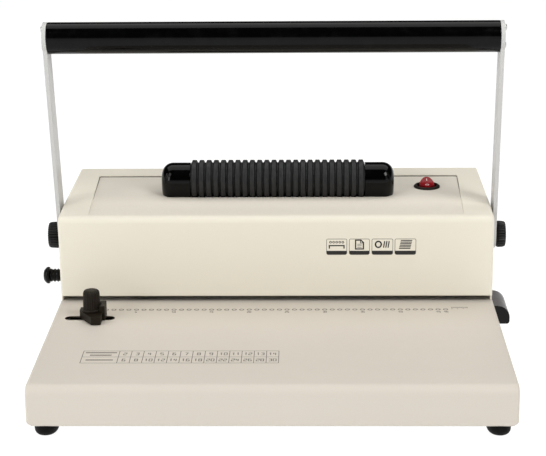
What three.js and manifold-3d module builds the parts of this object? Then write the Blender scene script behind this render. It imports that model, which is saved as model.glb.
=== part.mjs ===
// Coil binding machine: a hand-levered punch for a row of coil holes, with a powered coil inserter on top.
// Millimetres, +Z up, +X to the operator's right, origin on the floor under the middle of the machine.
import * as THREE from 'three';
import { mergeGeometries, mergeVertices } from 'three/addons/utils/BufferGeometryUtils.js';
import Module from 'manifold-3d';

const wasm = await Module();
wasm.setup();

// Clearances
const fitGap = 0.3;
const cutOverrun = 4;

// Base cover, plate and feet
const baseSideStep = 1.6;
const footHeight = 8.7;
const sheet = 1.2;
const baseFrontRadius = 8.5;
const baseEdgeRadius = 4.5;
const basePlateThickness = 1.5;
const footRadius = 9.4;
const footToeRadius = 5.2;
const footBoreRadius = 2.2;
const footPocketRadius = 3.4;
const footPocketDepth = 4.5;
const footInset = 14;
const footFrontSetback = 9.8;
const footRearSetback = 25;

// Housing cover over the punch
const tableDepth = 192;
const housingSideGap = 11.4;
const throatGap = 5;
const frameHeadroom = 4;
const bevelRise = 7.5;
const bevelRun = 42.5;
const housingEdgeRadius = 3.5;
const skirtSetback = 5;
const recessSideRim = 23.4;
const recessDepth = 1.5;
const recessRearRim = 29;
const lipWidth = 10;
const rearCoverInset = 1;

// Punch line, dies and throat
const coilPitch = 6.35;
const pinCount = 46;
const pinRadius = 2;
const pinClearance = 0.2;
const punchLineDepth = 45;
const pinRetreat = 0.5;
const dieThickness = 4;
const dieDepth = 42;
const dieFrontReach = 19;
const stripperThickness = 6;
const stripperEnd = 9.925;
const stripperFrontReach = 13;
const stripperDepth = 34;
const spacerDepth = 7;

// Side frames and their tie
const frameRowGap = 15.2;
const frameThickness = 4;
const frameCrown = 18.6;
const frameFrontReach = 31;
const frameRearReach = 53;
const frameLobeLift = 7;
const frameShoulderLift = 23;
const frameSlopeRun = 24;
const frameFootGap = 4;
const frameNoseCut = 14;
const flangeWidth = 10;
const flangeThickness = 3;
const beamDepth = 12;
const beamLift = 12;

// Main shaft, bearings and press cams
const shaftRadius = 8;
const shaftStubRadius = 5;
const shaftShoulderReach = 5;
const bearingWall = 3;
const bearingLength = 8;
const bearingFlangeWidth = 2.5;
const bearingFlangeThickness = 2;
const shaftRunGap = 0.25;
const collarWall = 2.6;
const pressStroke = 10;
const leverSwingDeg = 85;
const camBaseRadius = 11;
const camWidth = 14;
const camCapGap = 8;

// Punch bar, posts and springs
const barEndPlay = 0.5;
const barStopGap = 2.1;
const barDepth = 20;
const barHeight = 12;
const postInset = 9.5;
const postForward = 5;
const postRadius = 3;
const postTopGap = 1;
const springRadius = 4.3;
const springWireRadius = 0.7;
const springTurns = 5;

// Press lever
const leverLeanDeg = 7.15;
const leverLength = 179;
const armGap = 3.4;
const armThickness = 3.5;
const armPivotRadius = 14.5;
const armNeckHalf = 8;
const gripRadius = 13.3;
const gripWall = 3.6;
const gripPlugLength = 14;
const gripScrewOffset = 7.5;
const gripScrewLength = 11;
const handKnobRadius = 11;
const handKnobThickness = 7.7;
const handKnobBevel = 1.6;
const handKnobRidges = 20;
const handKnobRidgeDepth = 0.7;
const handKnobBoreDepth = 4.5;

// Coil inserter: roller, caps and drive
const rollerBehindPunch = 30;
const rollerAboveFloor = 13;
const rollerRibRadius = 17.2;
const rollerRootRadius = 14.9;
const rollerRibs = 24;
const rollerRibCrest = 3.6;
const rollerShaftRadius = 4;
const rollerSlotGap = 1.1;
const capRollerGap = 1.8;
const capLength = 24;
const capRadius = 15;
const capWall = 1.8;
const capEndRadius = 10;
const capOpeningHalf = 12;
const capOpeningLength = 19;
const earCapGap = 2;
const earThickness = 2.5;
const earRadius = 10.5;
const channelHalfDepth = 28;
const channelWall = 2.5;
const channelDrop = 10;
const channelLip = 8;
const rollerBearingWall = 2.2;
const rollerRunGap = 0.12;
const motorRadius = 17;
const motorLength = 58;
const motorFloorGap = 3;
const motorBossRadius = 8.5;
const motorShaftRadius = 2.5;
const motorBossLength = 4;
const motorPlateBorder = 2;
const pulleyGap = 5.5;
const pulleyWidth = 7;
const pulleyFlange = 1;
const rollerPulleyRadius = 9;
const motorPulleyRadius = 6;
const beltThickness = 1.4;

// Rocker switch
const switchSideGap = 26.5;
const switchRearGap = 31.5;
const switchBehindPunch = 50.5;
const bezelRadius = 11.7;
const bezelHeight = 2;
const switchBarrelRadius = 9.9;
const switchBarrelLength = 16;
const switchWellRadius = 8.8;
const switchWellDepth = 10;
const rockerRadius = 7.9;
const rockerEndHeight = 3.2;
const rockerMiddleHeight = 1.8;
const rockerKeelHalf = 5;
const rockerKeelDepth = 4.5;
const rockerAxisDrop = 1;
const rockerTiltDeg = 11;

// Edge guide in its slot
const slotSideGap = 10.5;
const slotLength = 40.3;
const slotWidth = 8;
const slotForward = 40.5;
const guideStart = 22.2;
const guideHeight = 6.6;
const guideLeftReach = 10.3;
const guideRightReach = 9;
const guideRearReach = 8;
const guideNoseReach = 18;
const guideNoseHalf = 7.7;
const guideTongueHalf = 7;
const guideStopThickness = 5;
const guideStopDepth = 14;
const guideStopHeight = 14.4;
const guideNutHalf = 8;
const guideNutDepth = 13;
const guideNutHeight = 6.5;
const clampKnobRadius = 7.3;
const clampKnobHeight = 19;
const clampKnobBevel = 2;
const clampKnobRidges = 14;
const clampKnobRidgeDepth = 0.6;
const clampCollarRadius = 8.2;
const clampCollarHeight = 2;
const clampScrewRadius = 2.4;

// Margin knob, its snail cam and the back gauge
const marginForward = 23.8;
const marginHeight = 17.2;
const marginRodRadius = 3;
const marginShankRadius = 5.75;
const marginRootRadius = 4.9;
const marginRidges = 4;
const marginRidgePitch = 2.9;
const marginHeadRadius = 7.3;
const marginHeadLength = 6;
const marginFaceShare = 0.6;
const marginReach = 17.6;
const snailBaseRadius = 5;
const snailTravel = 4;
const snailSwingDeg = 180;
const snailWidth = 3;
const gaugeBehindPunch = 3.2;
const gaugeDepth = 4;
const gaugeEnd = 7.125;
const gaugeLugThickness = 3;
const gaugeLugHeight = 22.5;

// Chip drawer and its pull
const drawerFrontReach = 39;
const drawerDepth = 56;
const drawerLeftGap = 25;
const drawerHeight = 24;
const drawerDieGap = 2.2;
const drawerWall = 1.5;
const drawerPlay = 0.8;
const railWidth = 1.6;
const railHeight = 5;
const pullReach = 16;
const pullSetback = 7;
const pullLength = 37;
const pullHeight = 15.7;
const pullLift = 7.8;
const pullTopRadius = 11;
const pullToeRadius = 2.5;
const pullWall = 1.8;

// Mains inlet in the rear cover
const inletSideGap = 63.4;
const inletHeight = 23;
const inletHalfWidth = 14;
const inletHalfHeight = 10;
const inletWall = 2;
const inletDepth = 16;
const inletFlange = 2.5;
const contactLength = 10;
const contactThickness = 2;
const contactHeight = 4;
const contactSpread = 7;
const contactRise = 3;

// Screws
const screwShankRadius = 1.5;
const screwHeadRadius = 3;
const screwHeadHeight = 1.8;
const flatHeadHeight = 0.9;

// Counts of facets
const roundSides = 20;
const innerSides = 14;
const rollerSides = 14;
const smallSides = 10;
const tinySides = 6;
const hexSides = 6;
const wireSides = 4;
const turnSteps = 8;
const edgeSegments = 2;
const arcSegments = 8;

// Places worked out from the dimensions above
const rowHalf = (pinCount - 1) * coilPitch / 2;
const stripperHalfWidth = rowHalf + stripperEnd;
const gaugeHalfWidth = rowHalf + gaugeEnd;
const frameInnerHalf = stripperHalfWidth + frameRowGap;
const frameOuterHalf = frameInnerHalf + frameThickness;
const shaftShoulderHalf = frameOuterHalf + shaftShoulderReach;
const postOffset = frameInnerHalf - postInset;
const bearingInnerX = frameInnerHalf - fitGap - bearingFlangeThickness;
const housingHalf = frameOuterHalf + housingSideGap;
const armInnerHalf = housingHalf + armGap;
const recessHalf = housingHalf - recessSideRim;
const baseHalf = housingHalf + baseSideStep;
const housingDepth = punchLineDepth + switchBehindPunch + switchRearGap + recessRearRim;
const baseDepth = tableDepth + housingDepth;
const baseFront = -baseDepth / 2;
const baseRear = baseDepth / 2;
const basePlateTop = footHeight + basePlateThickness;
const drawerBottom = basePlateTop + fitGap;
const dieZ = drawerBottom + drawerHeight + drawerDieGap;
const tableZ = dieZ + dieThickness;
const throatZ = tableZ + throatGap;
const stripperTop = throatZ + stripperThickness;
const barBottom = stripperTop + barStopGap + pressStroke;
const barTop = barBottom + barHeight;
const shaftZ = barTop + fitGap + camBaseRadius;
const frameTopZ = shaftZ + frameCrown;
const bevelZ = frameTopZ + frameHeadroom;
const housingTop = bevelZ + bevelRise;
const housingFront = baseFront + tableDepth;
const recessFloor = housingTop - recessDepth;
const recessRear = baseRear - recessRearRim;
const rearCoverY = baseRear - rearCoverInset;
const punchY = housingFront + punchLineDepth;
const dieFront = punchY - dieFrontReach;
const stripperFront = punchY - stripperFrontReach;
const stripperRear = stripperFront + stripperDepth;
const frameFrontY = punchY - frameFrontReach;
const frameRearY = punchY + frameRearReach;
const frameLobeZ = tableZ + frameLobeLift;
const frameShoulderZ = tableZ + frameShoulderLift;
const leverSwing = THREE.MathUtils.degToRad(leverSwingDeg);
const pressLead = pressStroke / leverSwing;
const barHalf = bearingInnerX - barEndPlay;
const pinBottom = throatZ + pinRetreat;
const postY = punchY - postForward;
const rollerY = punchY + rollerBehindPunch;
const rollerZ = recessFloor + rollerAboveFloor;
const rollerHalf = rollerRibs * coilPitch / 2;
const capInnerHalf = rollerHalf + capRollerGap;
const earHalf = capInnerHalf + earCapGap;
const pulleyOffset = earHalf + pulleyGap;
const camOffset = capInnerHalf + capLength + camCapGap;
const channelTop = recessFloor - sheet - fitGap;
const channelFloor = channelTop - channelDrop;
const motorZ = stripperTop + motorFloorGap + motorRadius;
const motorPlateHalf = motorRadius + motorPlateBorder;
const switchX = recessHalf - switchSideGap;
const switchY = punchY + switchBehindPunch;
const earOuterHalf = earHalf + earThickness;
const slotY = housingFront - slotForward;
const slotLeftX = slotSideGap - baseHalf;
const slotRight = slotLeftX + slotLength;
const guideX = slotLeftX + guideStart;
const marginY = housingFront + punchLineDepth - marginForward;
const marginZ = tableZ + marginHeight;
const snailSwing = THREE.MathUtils.degToRad(snailSwingDeg);
const snailOuterX = -frameInnerHalf + fitGap;
const gaugeFront = punchY + gaugeBehindPunch;
const marginOutHalf = housingHalf + marginReach;
const drawerFrontY = punchY - drawerFrontReach;
const drawerRear = drawerFrontY + drawerDepth;
const drawerLeftX = drawerLeftGap - baseHalf;
const pullFrontY = drawerFrontY + pullSetback;
const pullOutX = baseHalf + pullReach;
const frameFootFront = drawerRear + frameFootGap;
const inletX = housingHalf - inletSideGap;
const inletZ = tableZ + inletHeight;

// Shapes and solids

function polygon(points) {
  return new THREE.Shape(points.map(([a, b]) => new THREE.Vector2(a, b)));
}

function roundedRectangle(x0, x1, y0, y1, radius) {
  const shape = new THREE.Shape();
  shape.moveTo(x0 + radius, y0);
  shape.absarc(x1 - radius, y0 + radius, radius, -Math.PI / 2, 0, false);
  shape.absarc(x1 - radius, y1 - radius, radius, 0, Math.PI / 2, false);
  shape.absarc(x0 + radius, y1 - radius, radius, Math.PI / 2, Math.PI, false);
  shape.absarc(x0 + radius, y0 + radius, radius, Math.PI, Math.PI * 1.5, false);
  return shape;
}

function circle(x, y, radius) {
  const path = new THREE.Path();
  path.absarc(x, y, radius, 0, Math.PI * 2, true);
  return path;
}

// An outline with ridges round a circle, as on a knurled knob.
function ridgedCircle(radius, ridges, depth) {
  const points = [];
  for (let i = 0; i < ridges * 2; i += 1) {
    const angle = Math.PI * i / ridges;
    const reach = i % 2 ? radius - depth : radius;
    points.push([reach * Math.cos(angle), reach * Math.sin(angle)]);
  }
  return polygon(points);
}

function regularPolygon(radius, sides) {
  return polygon(Array.from({ length: sides }, (_, i) => {
    const angle = Math.PI * 2 * i / sides;
    return [radius * Math.cos(angle), radius * Math.sin(angle)];
  }));
}

function extrude(shape, length, curveSegments = 4, bevel = null) {
  const plain = { depth: length, bevelEnabled: false, curveSegments };
  return new THREE.ExtrudeGeometry(shape, bevel ? { ...plain, bevelEnabled: true, ...bevel } : plain);
}

const alongX = new THREE.Matrix4().makeBasis(
  new THREE.Vector3(0, 1, 0), new THREE.Vector3(0, 0, 1), new THREE.Vector3(1, 0, 0));

// A (y, z) outline run from x0 to x1.
function prismX(shape, x0, x1, curveSegments) {
  return extrude(shape, x1 - x0, curveSegments).applyMatrix4(alongX).translate(x0, 0, 0);
}

// An (x, y) outline run from z0 to z1.
function prismZ(shape, z0, z1, curveSegments) {
  return extrude(shape, z1 - z0, curveSegments).translate(0, 0, z0);
}

// A (y, z) outline run from x0 to x1 with the edges of both ends rounded.
function roundedPrismX(shape, x0, x1, radius, segments = edgeSegments) {
  const bevel = { bevelThickness: radius, bevelSize: radius, bevelOffset: -radius, bevelSegments: segments };
  return extrude(shape, x1 - x0 - 2 * radius, 2 * segments, bevel)
    .applyMatrix4(alongX).translate(x0 + radius, 0, 0);
}

function box(x0, x1, y0, y1, z0, z1) {
  return new THREE.BoxGeometry(x1 - x0, y1 - y0, z1 - z0)
    .translate((x0 + x1) / 2, (y0 + y1) / 2, (z0 + z1) / 2);
}

function rodX(radius, x0, x1, y, z, sides = roundSides) {
  return new THREE.CylinderGeometry(radius, radius, x1 - x0, sides)
    .rotateZ(-Math.PI / 2).translate((x0 + x1) / 2, y, z);
}

function rodY(radius, x, y0, y1, z, sides = roundSides) {
  return new THREE.CylinderGeometry(radius, radius, y1 - y0, sides).translate(x, (y0 + y1) / 2, z);
}

function rodZ(radius, x, y, z0, z1, sides = roundSides) {
  return new THREE.CylinderGeometry(radius, radius, z1 - z0, sides)
    .rotateX(Math.PI / 2).translate(x, y, (z0 + z1) / 2);
}

// A closed (radius, height) profile turned round Y, with its faces pointing out.
function lathe(profile, sides) {
  const points = profile.map(([r, h]) => new THREE.Vector2(r, h));
  const ordered = THREE.ShapeUtils.area(points) > 0 ? points : points.reverse();
  return new THREE.LatheGeometry([...ordered, ordered[0].clone()], sides);
}

function latheZ(profile, x, y, z, sides = roundSides) {
  return lathe(profile, sides).rotateX(Math.PI / 2).translate(x, y, z);
}

// Heights run along +X.
function latheX(profile, x, y, z, sides = roundSides) {
  return lathe(profile, sides).rotateZ(-Math.PI / 2).translate(x, y, z);
}

function toSolid(geometry) {
  const bare = geometry.clone();
  bare.deleteAttribute('normal');
  bare.deleteAttribute('uv');
  const merged = mergeVertices(bare.index ? bare.toNonIndexed() : bare);
  return new wasm.Manifold(new wasm.Mesh({
    numProp: 3,
    vertProperties: new Float32Array(merged.attributes.position.array),
    triVerts: new Uint32Array(merged.index.array),
  }));
}

function toGeometry(manifold) {
  const mesh = manifold.getMesh();
  const geometry = new THREE.BufferGeometry();
  geometry.setAttribute('position', new THREE.BufferAttribute(mesh.vertProperties, 3));
  geometry.setIndex(new THREE.BufferAttribute(mesh.triVerts, 1));
  return geometry;
}

function join(first, ...others) {
  return toGeometry(others.reduce((sum, next) => sum.add(toSolid(next)), toSolid(first)));
}

function cut(first, ...cutters) {
  return toGeometry(cutters.reduce((rest, next) => rest.subtract(toSolid(next)), toSolid(first)));
}

function overlapOf(first, second) {
  return toGeometry(toSolid(first).intersect(toSolid(second)));
}

// Several solids that stay apart in one piece of geometry.
function group(parts) {
  const bare = parts.map((part) => {
    const copy = part.index ? part.toNonIndexed() : part.clone();
    copy.deleteAttribute('normal');
    copy.deleteAttribute('uv');
    return copy;
  });
  return mergeVertices(mergeGeometries(bare));
}

// The same form on the other side of the middle plane.
function mirrored(geometry) {
  const copy = geometry.index ? geometry.toNonIndexed() : geometry.clone();
  copy.scale(-1, 1, 1);
  const position = copy.attributes.position;
  const corner = new THREE.Vector3();
  const other = new THREE.Vector3();
  for (let i = 0; i < position.count; i += 3) {
    corner.fromBufferAttribute(position, i + 1);
    other.fromBufferAttribute(position, i + 2);
    position.setXYZ(i + 1, other.x, other.y, other.z);
    position.setXYZ(i + 2, corner.x, corner.y, corner.z);
  }
  return copy;
}

// Materials

function material(color, roughness, metalness) {
  return new THREE.MeshStandardMaterial({ color, roughness, metalness });
}

const cream = material(0xe4dccb, 0.5, 0);
const paleGrey = material(0xc6c6c3, 0.45, 0.1);
const blackPlastic = material(0x161616, 0.35, 0);
const blackRubber = material(0x1f2022, 0.75, 0);
const steel = material(0x9b9ea2, 0.35, 1);
const zinc = material(0xb4b6b4, 0.45, 0.9);
const redPlastic = material(0xa0222c, 0.3, 0);
const brass = material(0xb98f45, 0.35, 1);

const machine = new THREE.Group();

function addPiece(name, geometry, look, parent = machine) {
  const mesh = new THREE.Mesh(geometry, look);
  mesh.name = name;
  parent.add(mesh);
  return mesh;
}

// Base

function baseProfile(inset, bottom) {
  const front = baseFront + inset;
  const top = tableZ - inset;
  const radius = baseFrontRadius - inset;
  const shape = new THREE.Shape();
  shape.moveTo(front, bottom);
  shape.lineTo(front, top - radius);
  shape.absarc(front + radius, top - radius, radius, Math.PI, Math.PI / 2, true);
  shape.lineTo(baseRear - inset, top);
  shape.lineTo(baseRear - inset, bottom);
  return shape;
}

function baseForm(inset, bottom) {
  const half = baseHalf - inset;
  return roundedPrismX(baseProfile(inset, bottom), -half, half, baseEdgeRadius - inset);
}

function guideSlot() {
  const half = slotWidth / 2;
  const shape = roundedRectangle(slotLeftX, slotRight, slotY - half, slotY + half, half / 2);
  return prismZ(shape, tableZ - cutOverrun, tableZ + cutOverrun);
}

function dieOpening() {
  const half = frameOuterHalf + screwHeadHeight + fitGap;
  const rear = baseRear - lipWidth / 2;
  return box(-half, half, dieFront - fitGap, rear, tableZ - cutOverrun, tableZ + cutOverrun);
}

function drawerOpening() {
  return box(baseHalf - cutOverrun, baseHalf + cutOverrun, drawerFrontY - drawerPlay,
    drawerRear + drawerPlay, basePlateTop, drawerBottom + drawerHeight + drawerPlay);
}

function baseCover() {
  const below = footHeight - baseEdgeRadius - cutOverrun;
  const skirtCut = box(-armInnerHalf, armInnerHalf, -baseDepth, baseDepth, below - cutOverrun, footHeight);
  return cut(baseForm(0, below), baseForm(sheet, below - cutOverrun), skirtCut,
    guideSlot(), dieOpening(), drawerOpening());
}

const footPlaces = [
  ['foot_front_left', -1, baseFront + footFrontSetback],
  ['foot_front_right', 1, baseFront + footFrontSetback],
  ['foot_rear_left', -1, baseRear - footRearSetback],
  ['foot_rear_right', 1, baseRear - footRearSetback],
].map(([name, side, y]) => ({ name, x: side * (baseHalf - footInset), y }));

const flangeScrewPlaces = [-1, 1].flatMap((side) => [1, 3].map((quarter) => ({
  x: side * (frameOuterHalf + flangeWidth / 2),
  y: frameFootFront + (frameRearY - frameFootFront) * quarter / 4,
})));

function footScrew({ x, y }) {
  const headTop = footPocketDepth - fitGap;
  return join(
    rodZ(screwHeadRadius, x, y, headTop - screwHeadHeight, headTop, smallSides),
    rodZ(screwShankRadius, x, y, headTop - screwHeadHeight / 2, basePlateTop + screwHeadHeight, tinySides));
}

// The plate with the four screws that hold its feet.
function basePlate() {
  const halfWidth = baseHalf - sheet - fitGap;
  const halfDepth = baseDepth / 2 - sheet - fitGap;
  const outline = roundedRectangle(-halfWidth, halfWidth, -halfDepth, halfDepth, baseEdgeRadius);
  const plate = prismZ(outline, footHeight, basePlateTop, 3);
  const frameHoles = flangeScrewPlaces.map(({ x, y }) => rodZ(
    screwShankRadius + fitGap, x, y, footHeight - cutOverrun, basePlateTop + cutOverrun, tinySides));
  return join(cut(plate, group(frameHoles)), ...footPlaces.map(footScrew));
}

// A bowl-shaped foot with a pocket for its screw.
function foot({ x, y }) {
  const steps = 4;
  const bowl = Array.from({ length: steps + 1 }, (_, i) => {
    const angle = Math.PI / 2 * i / steps;
    const radius = footToeRadius + (footRadius - footToeRadius) * Math.sin(angle);
    return [radius, footHeight * (1 - Math.cos(angle))];
  });
  return latheZ([
    [footBoreRadius, footHeight], [footBoreRadius, footPocketDepth], [footPocketRadius, footPocketDepth],
    [footPocketRadius, 0], ...bowl,
  ], x, y, 0, innerSides);
}

addPiece('base_cover', baseCover(), cream);
addPiece('base_plate', basePlate(), zinc);
footPlaces.forEach((place) => addPiece(place.name, foot(place), blackRubber));

// Housing

function housingProfile(inset, bottom) {
  const slope = bevelRise / bevelRun;
  const drop = inset * Math.hypot(1, slope);
  const front = housingFront + inset;
  const top = housingTop - inset;
  const bendZ = bevelZ + slope * inset - drop;
  const crestY = housingFront + (top - bevelZ + drop) / slope;
  const rear = baseRear + (inset ? cutOverrun : 0);
  return polygon([[front, bottom], [front, bendZ], [crestY, top], [rear, top], [rear, bottom]]);
}

function housingForm(inset, bottom) {
  const half = housingHalf - inset;
  return roundedPrismX(housingProfile(inset, bottom), -half, half, housingEdgeRadius - inset);
}

function recessPan(grow) {
  const half = recessHalf + grow;
  const top = housingTop + cutOverrun;
  return box(-half, half, housingFront + sheet, recessRear + grow, recessFloor - grow, top);
}

function sideSkirt(side) {
  const outer = side * housingHalf;
  const inner = side * (housingHalf - sheet);
  return box(Math.min(outer, inner), Math.max(outer, inner), housingFront + skirtSetback,
    baseRear - housingEdgeRadius, tableZ + fitGap, throatZ + housingEdgeRadius * 2);
}

const rearScrewPlaces = [-1, 1].flatMap((side) => [1, 4].map((fifth) => ({
  x: side * (housingHalf - sheet - lipWidth / 2),
  z: throatZ + (housingTop - throatZ) * fifth / 5,
})));

function rearLip(side) {
  const outer = side * (housingHalf - sheet / 2);
  const inner = side * (housingHalf - sheet - lipWidth);
  const y = rearCoverY - sheet;
  return box(Math.min(outer, inner), Math.max(outer, inner), y - sheet, y,
    throatZ + lipWidth / 2, housingTop - lipWidth);
}

function rearScrewHoles() {
  return group(rearScrewPlaces.map(({ x, z }) => rodY(
    screwShankRadius + fitGap, x, rearCoverY - cutOverrun, rearCoverY + cutOverrun, z, tinySides)));
}

function rollerSlot() {
  const half = capInnerHalf - fitGap;
  const ends = half + capOpeningLength;
  const z0 = recessFloor - cutOverrun;
  const z1 = recessFloor + cutOverrun;
  const across = Math.sqrt(rollerRibRadius ** 2 - rollerAboveFloor ** 2) + rollerSlotGap;
  return join(
    box(-half, half, rollerY - across, rollerY + across, z0, z1),
    box(-ends, ends, rollerY - capOpeningHalf, rollerY + capOpeningHalf, z0, z1));
}

function housingCover() {
  const outside = join(housingForm(0, throatZ), sideSkirt(-1), sideSkirt(1));
  const inside = cut(housingForm(sheet, tableZ - cutOverrun), recessPan(sheet));
  const shell = join(cut(outside, inside, recessPan(0)), rearLip(-1), rearLip(1));
  return cut(shell,
    rollerSlot(),
    rodZ(switchBarrelRadius + fitGap, switchX, switchY, recessFloor - cutOverrun, recessFloor + cutOverrun),
    rodX(shaftStubRadius + collarWall + 2 * fitGap, -armInnerHalf, armInnerHalf, punchY, shaftZ),
    rodX(marginRodRadius + fitGap, -armInnerHalf, 0, marginY, marginZ, smallSides),
    rearScrewHoles());
}

function rearScrew({ x, z }) {
  return join(
    rodY(screwHeadRadius, x, rearCoverY - sheet / 2, rearCoverY + flatHeadHeight, z, smallSides),
    rodY(screwShankRadius, x, rearCoverY - 3 * sheet, rearCoverY, z, tinySides));
}

// The rear panel with its four screws.
function rearCover() {
  const slab = box(-housingHalf, housingHalf, rearCoverY - sheet, rearCoverY, tableZ + fitGap, housingTop);
  const plate = overlapOf(slab, housingForm(sheet + fitGap, tableZ - cutOverrun));
  const window = box(inletX - inletHalfWidth - fitGap, inletX + inletHalfWidth + fitGap,
    rearCoverY - cutOverrun, rearCoverY + cutOverrun,
    inletZ - inletHalfHeight - fitGap, inletZ + inletHalfHeight + fitGap);
  return join(cut(plate, window), ...rearScrewPlaces.map(rearScrew));
}

addPiece('housing_cover', housingCover(), cream);
addPiece('rear_cover', rearCover(), cream);

// Mains inlet

function inletContacts() {
  const floorY = rearCoverY - inletDepth;
  const places = [[-contactSpread, -contactRise], [contactSpread, -contactRise], [0, contactRise]];
  return places.map(([x, z]) => box(
    inletX + x - contactThickness / 2, inletX + x + contactThickness / 2,
    floorY - inletWall / 2, floorY + contactLength,
    inletZ + z - contactHeight / 2, inletZ + z + contactHeight / 2));
}

function powerInlet() {
  const body = box(inletX - inletHalfWidth, inletX + inletHalfWidth, rearCoverY - inletDepth - inletWall,
    rearCoverY + rearCoverInset / 2, inletZ - inletHalfHeight, inletZ + inletHalfHeight);
  const flange = box(inletX - inletHalfWidth - inletFlange, inletX + inletHalfWidth + inletFlange,
    rearCoverY, baseRear, inletZ - inletHalfHeight - inletFlange, inletZ + inletHalfHeight + inletFlange);
  const well = box(inletX - inletHalfWidth + inletWall, inletX + inletHalfWidth - inletWall,
    rearCoverY - inletDepth, baseRear + cutOverrun,
    inletZ - inletHalfHeight + inletWall, inletZ + inletHalfHeight - inletWall);
  return join(cut(join(body, flange), well), ...inletContacts());
}

addPiece('power_inlet', powerInlet(), blackPlastic);

// Side frames, tie and screws

const frameScrewPlaces = [
  { y: dieFront + dieDepth / 5, z: dieZ + dieThickness / 2 },
  { y: dieFront + dieDepth * 4 / 5, z: dieZ + dieThickness / 2 },
  { y: frameRearY - beamDepth, z: basePlateTop + beamLift + beamDepth / 2 },
];

// Hex screws through the right frame: two down into the base plate, three inwards to the die and the beam.
function frameScrews() {
  const flangeTop = basePlateTop + flangeThickness;
  const downward = flangeScrewPlaces.filter(({ x }) => x > 0).map(({ x, y }) => join(
    rodZ(screwHeadRadius, x, y, flangeTop - screwHeadHeight / 2, flangeTop + screwHeadHeight, hexSides),
    rodZ(screwShankRadius, x, y, footHeight, flangeTop, tinySides)));
  const headInner = frameOuterHalf - screwHeadHeight / 2;
  const headOuter = frameOuterHalf + screwHeadHeight;
  const heads = frameScrewPlaces.map(({ y, z }) => rodX(
    screwHeadRadius, headInner, headOuter, y, z, hexSides));
  return [...downward, ...heads];
}

// A frame plate with its foot flange and its screws.
function sideFrame(side) {
  const rim = dieZ - fitGap;
  const shape = polygon([
    [frameFootFront, basePlateTop], [frameRearY, basePlateTop], [frameRearY, frameShoulderZ],
    [frameRearY - frameSlopeRun, frameTopZ], [frameFrontY + frameNoseCut, frameTopZ],
    [frameFrontY, frameTopZ - frameNoseCut], [frameFrontY, frameLobeZ], [dieFront, frameLobeZ],
    [dieFront, rim], [frameFootFront, rim],
  ]);
  const plate = prismX(shape, frameInnerHalf, frameOuterHalf);
  const flange = box(frameOuterHalf - frameThickness / 2, frameOuterHalf + flangeWidth, frameFootFront,
    frameRearY, basePlateTop, basePlateTop + flangeThickness);
  const x0 = frameInnerHalf - cutOverrun;
  const x1 = frameOuterHalf + cutOverrun;
  const frame = cut(join(plate, flange),
    rodX(shaftRadius + shaftRunGap + bearingWall + fitGap, x0, x1, punchY, shaftZ),
    rodX(marginRodRadius + fitGap, x0, x1, marginY, marginZ, smallSides));
  const solid = join(frame, ...frameScrews());
  return side < 0 ? mirrored(solid) : solid;
}

function crossBeam() {
  const z = basePlateTop + beamLift;
  const half = frameInnerHalf - fitGap;
  return box(-half, half, frameRearY - beamDepth * 1.5, frameRearY - beamDepth / 2, z, z + beamDepth);
}

addPiece('side_frame_left', sideFrame(-1), steel);
addPiece('side_frame_right', sideFrame(1), steel);
addPiece('cross_beam', crossBeam(), steel);

// Die, stripper and throat

function pinX(index) {
  return index * coilPitch - rowHalf;
}

function pinRow(radius, z0, z1) {
  return Array.from({ length: pinCount }, (_, i) => rodZ(radius, pinX(i), punchY, z0, z1, tinySides));
}

function postHoles(z0, z1) {
  return group([-1, 1].map((side) => rodZ(
    postRadius + fitGap, side * postOffset, postY, z0, z1, smallSides)));
}

function diePlate() {
  const half = frameInnerHalf - fitGap;
  const plate = box(-half, half, dieFront, dieFront + dieDepth, dieZ, tableZ);
  const z0 = dieZ - cutOverrun;
  const z1 = tableZ + cutOverrun;
  return cut(plate, group(pinRow(pinRadius + pinClearance, z0, z1)), postHoles(z0, z1));
}

function stripperPlate() {
  const half = stripperHalfWidth;
  const plate = box(-half, half, stripperFront, stripperRear, throatZ, stripperTop);
  const holes = pinRow(pinRadius + pinClearance, throatZ - cutOverrun, stripperTop + cutOverrun);
  return cut(plate, group(holes));
}

function throatSpacer() {
  const front = stripperRear - spacerDepth;
  return box(-stripperHalfWidth, stripperHalfWidth, front, stripperRear, tableZ, throatZ);
}

addPiece('die_plate', diePlate(), steel);
addPiece('stripper_plate', stripperPlate(), steel);
addPiece('throat_spacer', throatSpacer(), steel);

// Punch bar, pins, posts and springs

// The bar with its row of pins pressed in.
function punchBar() {
  const halfDepth = barDepth / 2;
  const bar = box(-barHalf, barHalf, punchY - halfDepth, punchY + halfDepth, barBottom, barTop);
  const pins = group(pinRow(pinRadius, pinBottom, barBottom + pinRadius));
  return join(cut(bar, postHoles(barBottom - cutOverrun, barTop + cutOverrun)), pins);
}

function guidePost(side) {
  const top = shaftZ - shaftRadius - postTopGap;
  return rodZ(postRadius, side * postOffset, postY, dieZ, top, smallSides);
}

class Helix extends THREE.Curve {
  constructor(radius, turns, x, y, z0, z1) {
    super();
    Object.assign(this, { radius, turns, x, y, z0, z1 });
  }

  getPoint(t, target = new THREE.Vector3()) {
    const angle = t * this.turns * Math.PI * 2;
    return target.set(this.x + this.radius * Math.cos(angle), this.y + this.radius * Math.sin(angle),
      this.z0 + (this.z1 - this.z0) * t);
  }
}

function returnSpring(side) {
  const gap = springWireRadius + fitGap;
  const path = new Helix(springRadius, springTurns, side * postOffset, postY, tableZ + gap, barBottom - gap);
  const wire = regularPolygon(springWireRadius, wireSides);
  const steps = springTurns * turnSteps;
  return new THREE.ExtrudeGeometry(wire, { extrudePath: path, steps, bevelEnabled: false });
}

addPiece('punch_bar', punchBar(), steel);
addPiece('guide_post_left', guidePost(-1), steel);
addPiece('guide_post_right', guidePost(1), steel);
addPiece('return_spring_left', returnSpring(-1), steel);
addPiece('return_spring_right', returnSpring(1), steel);

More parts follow.
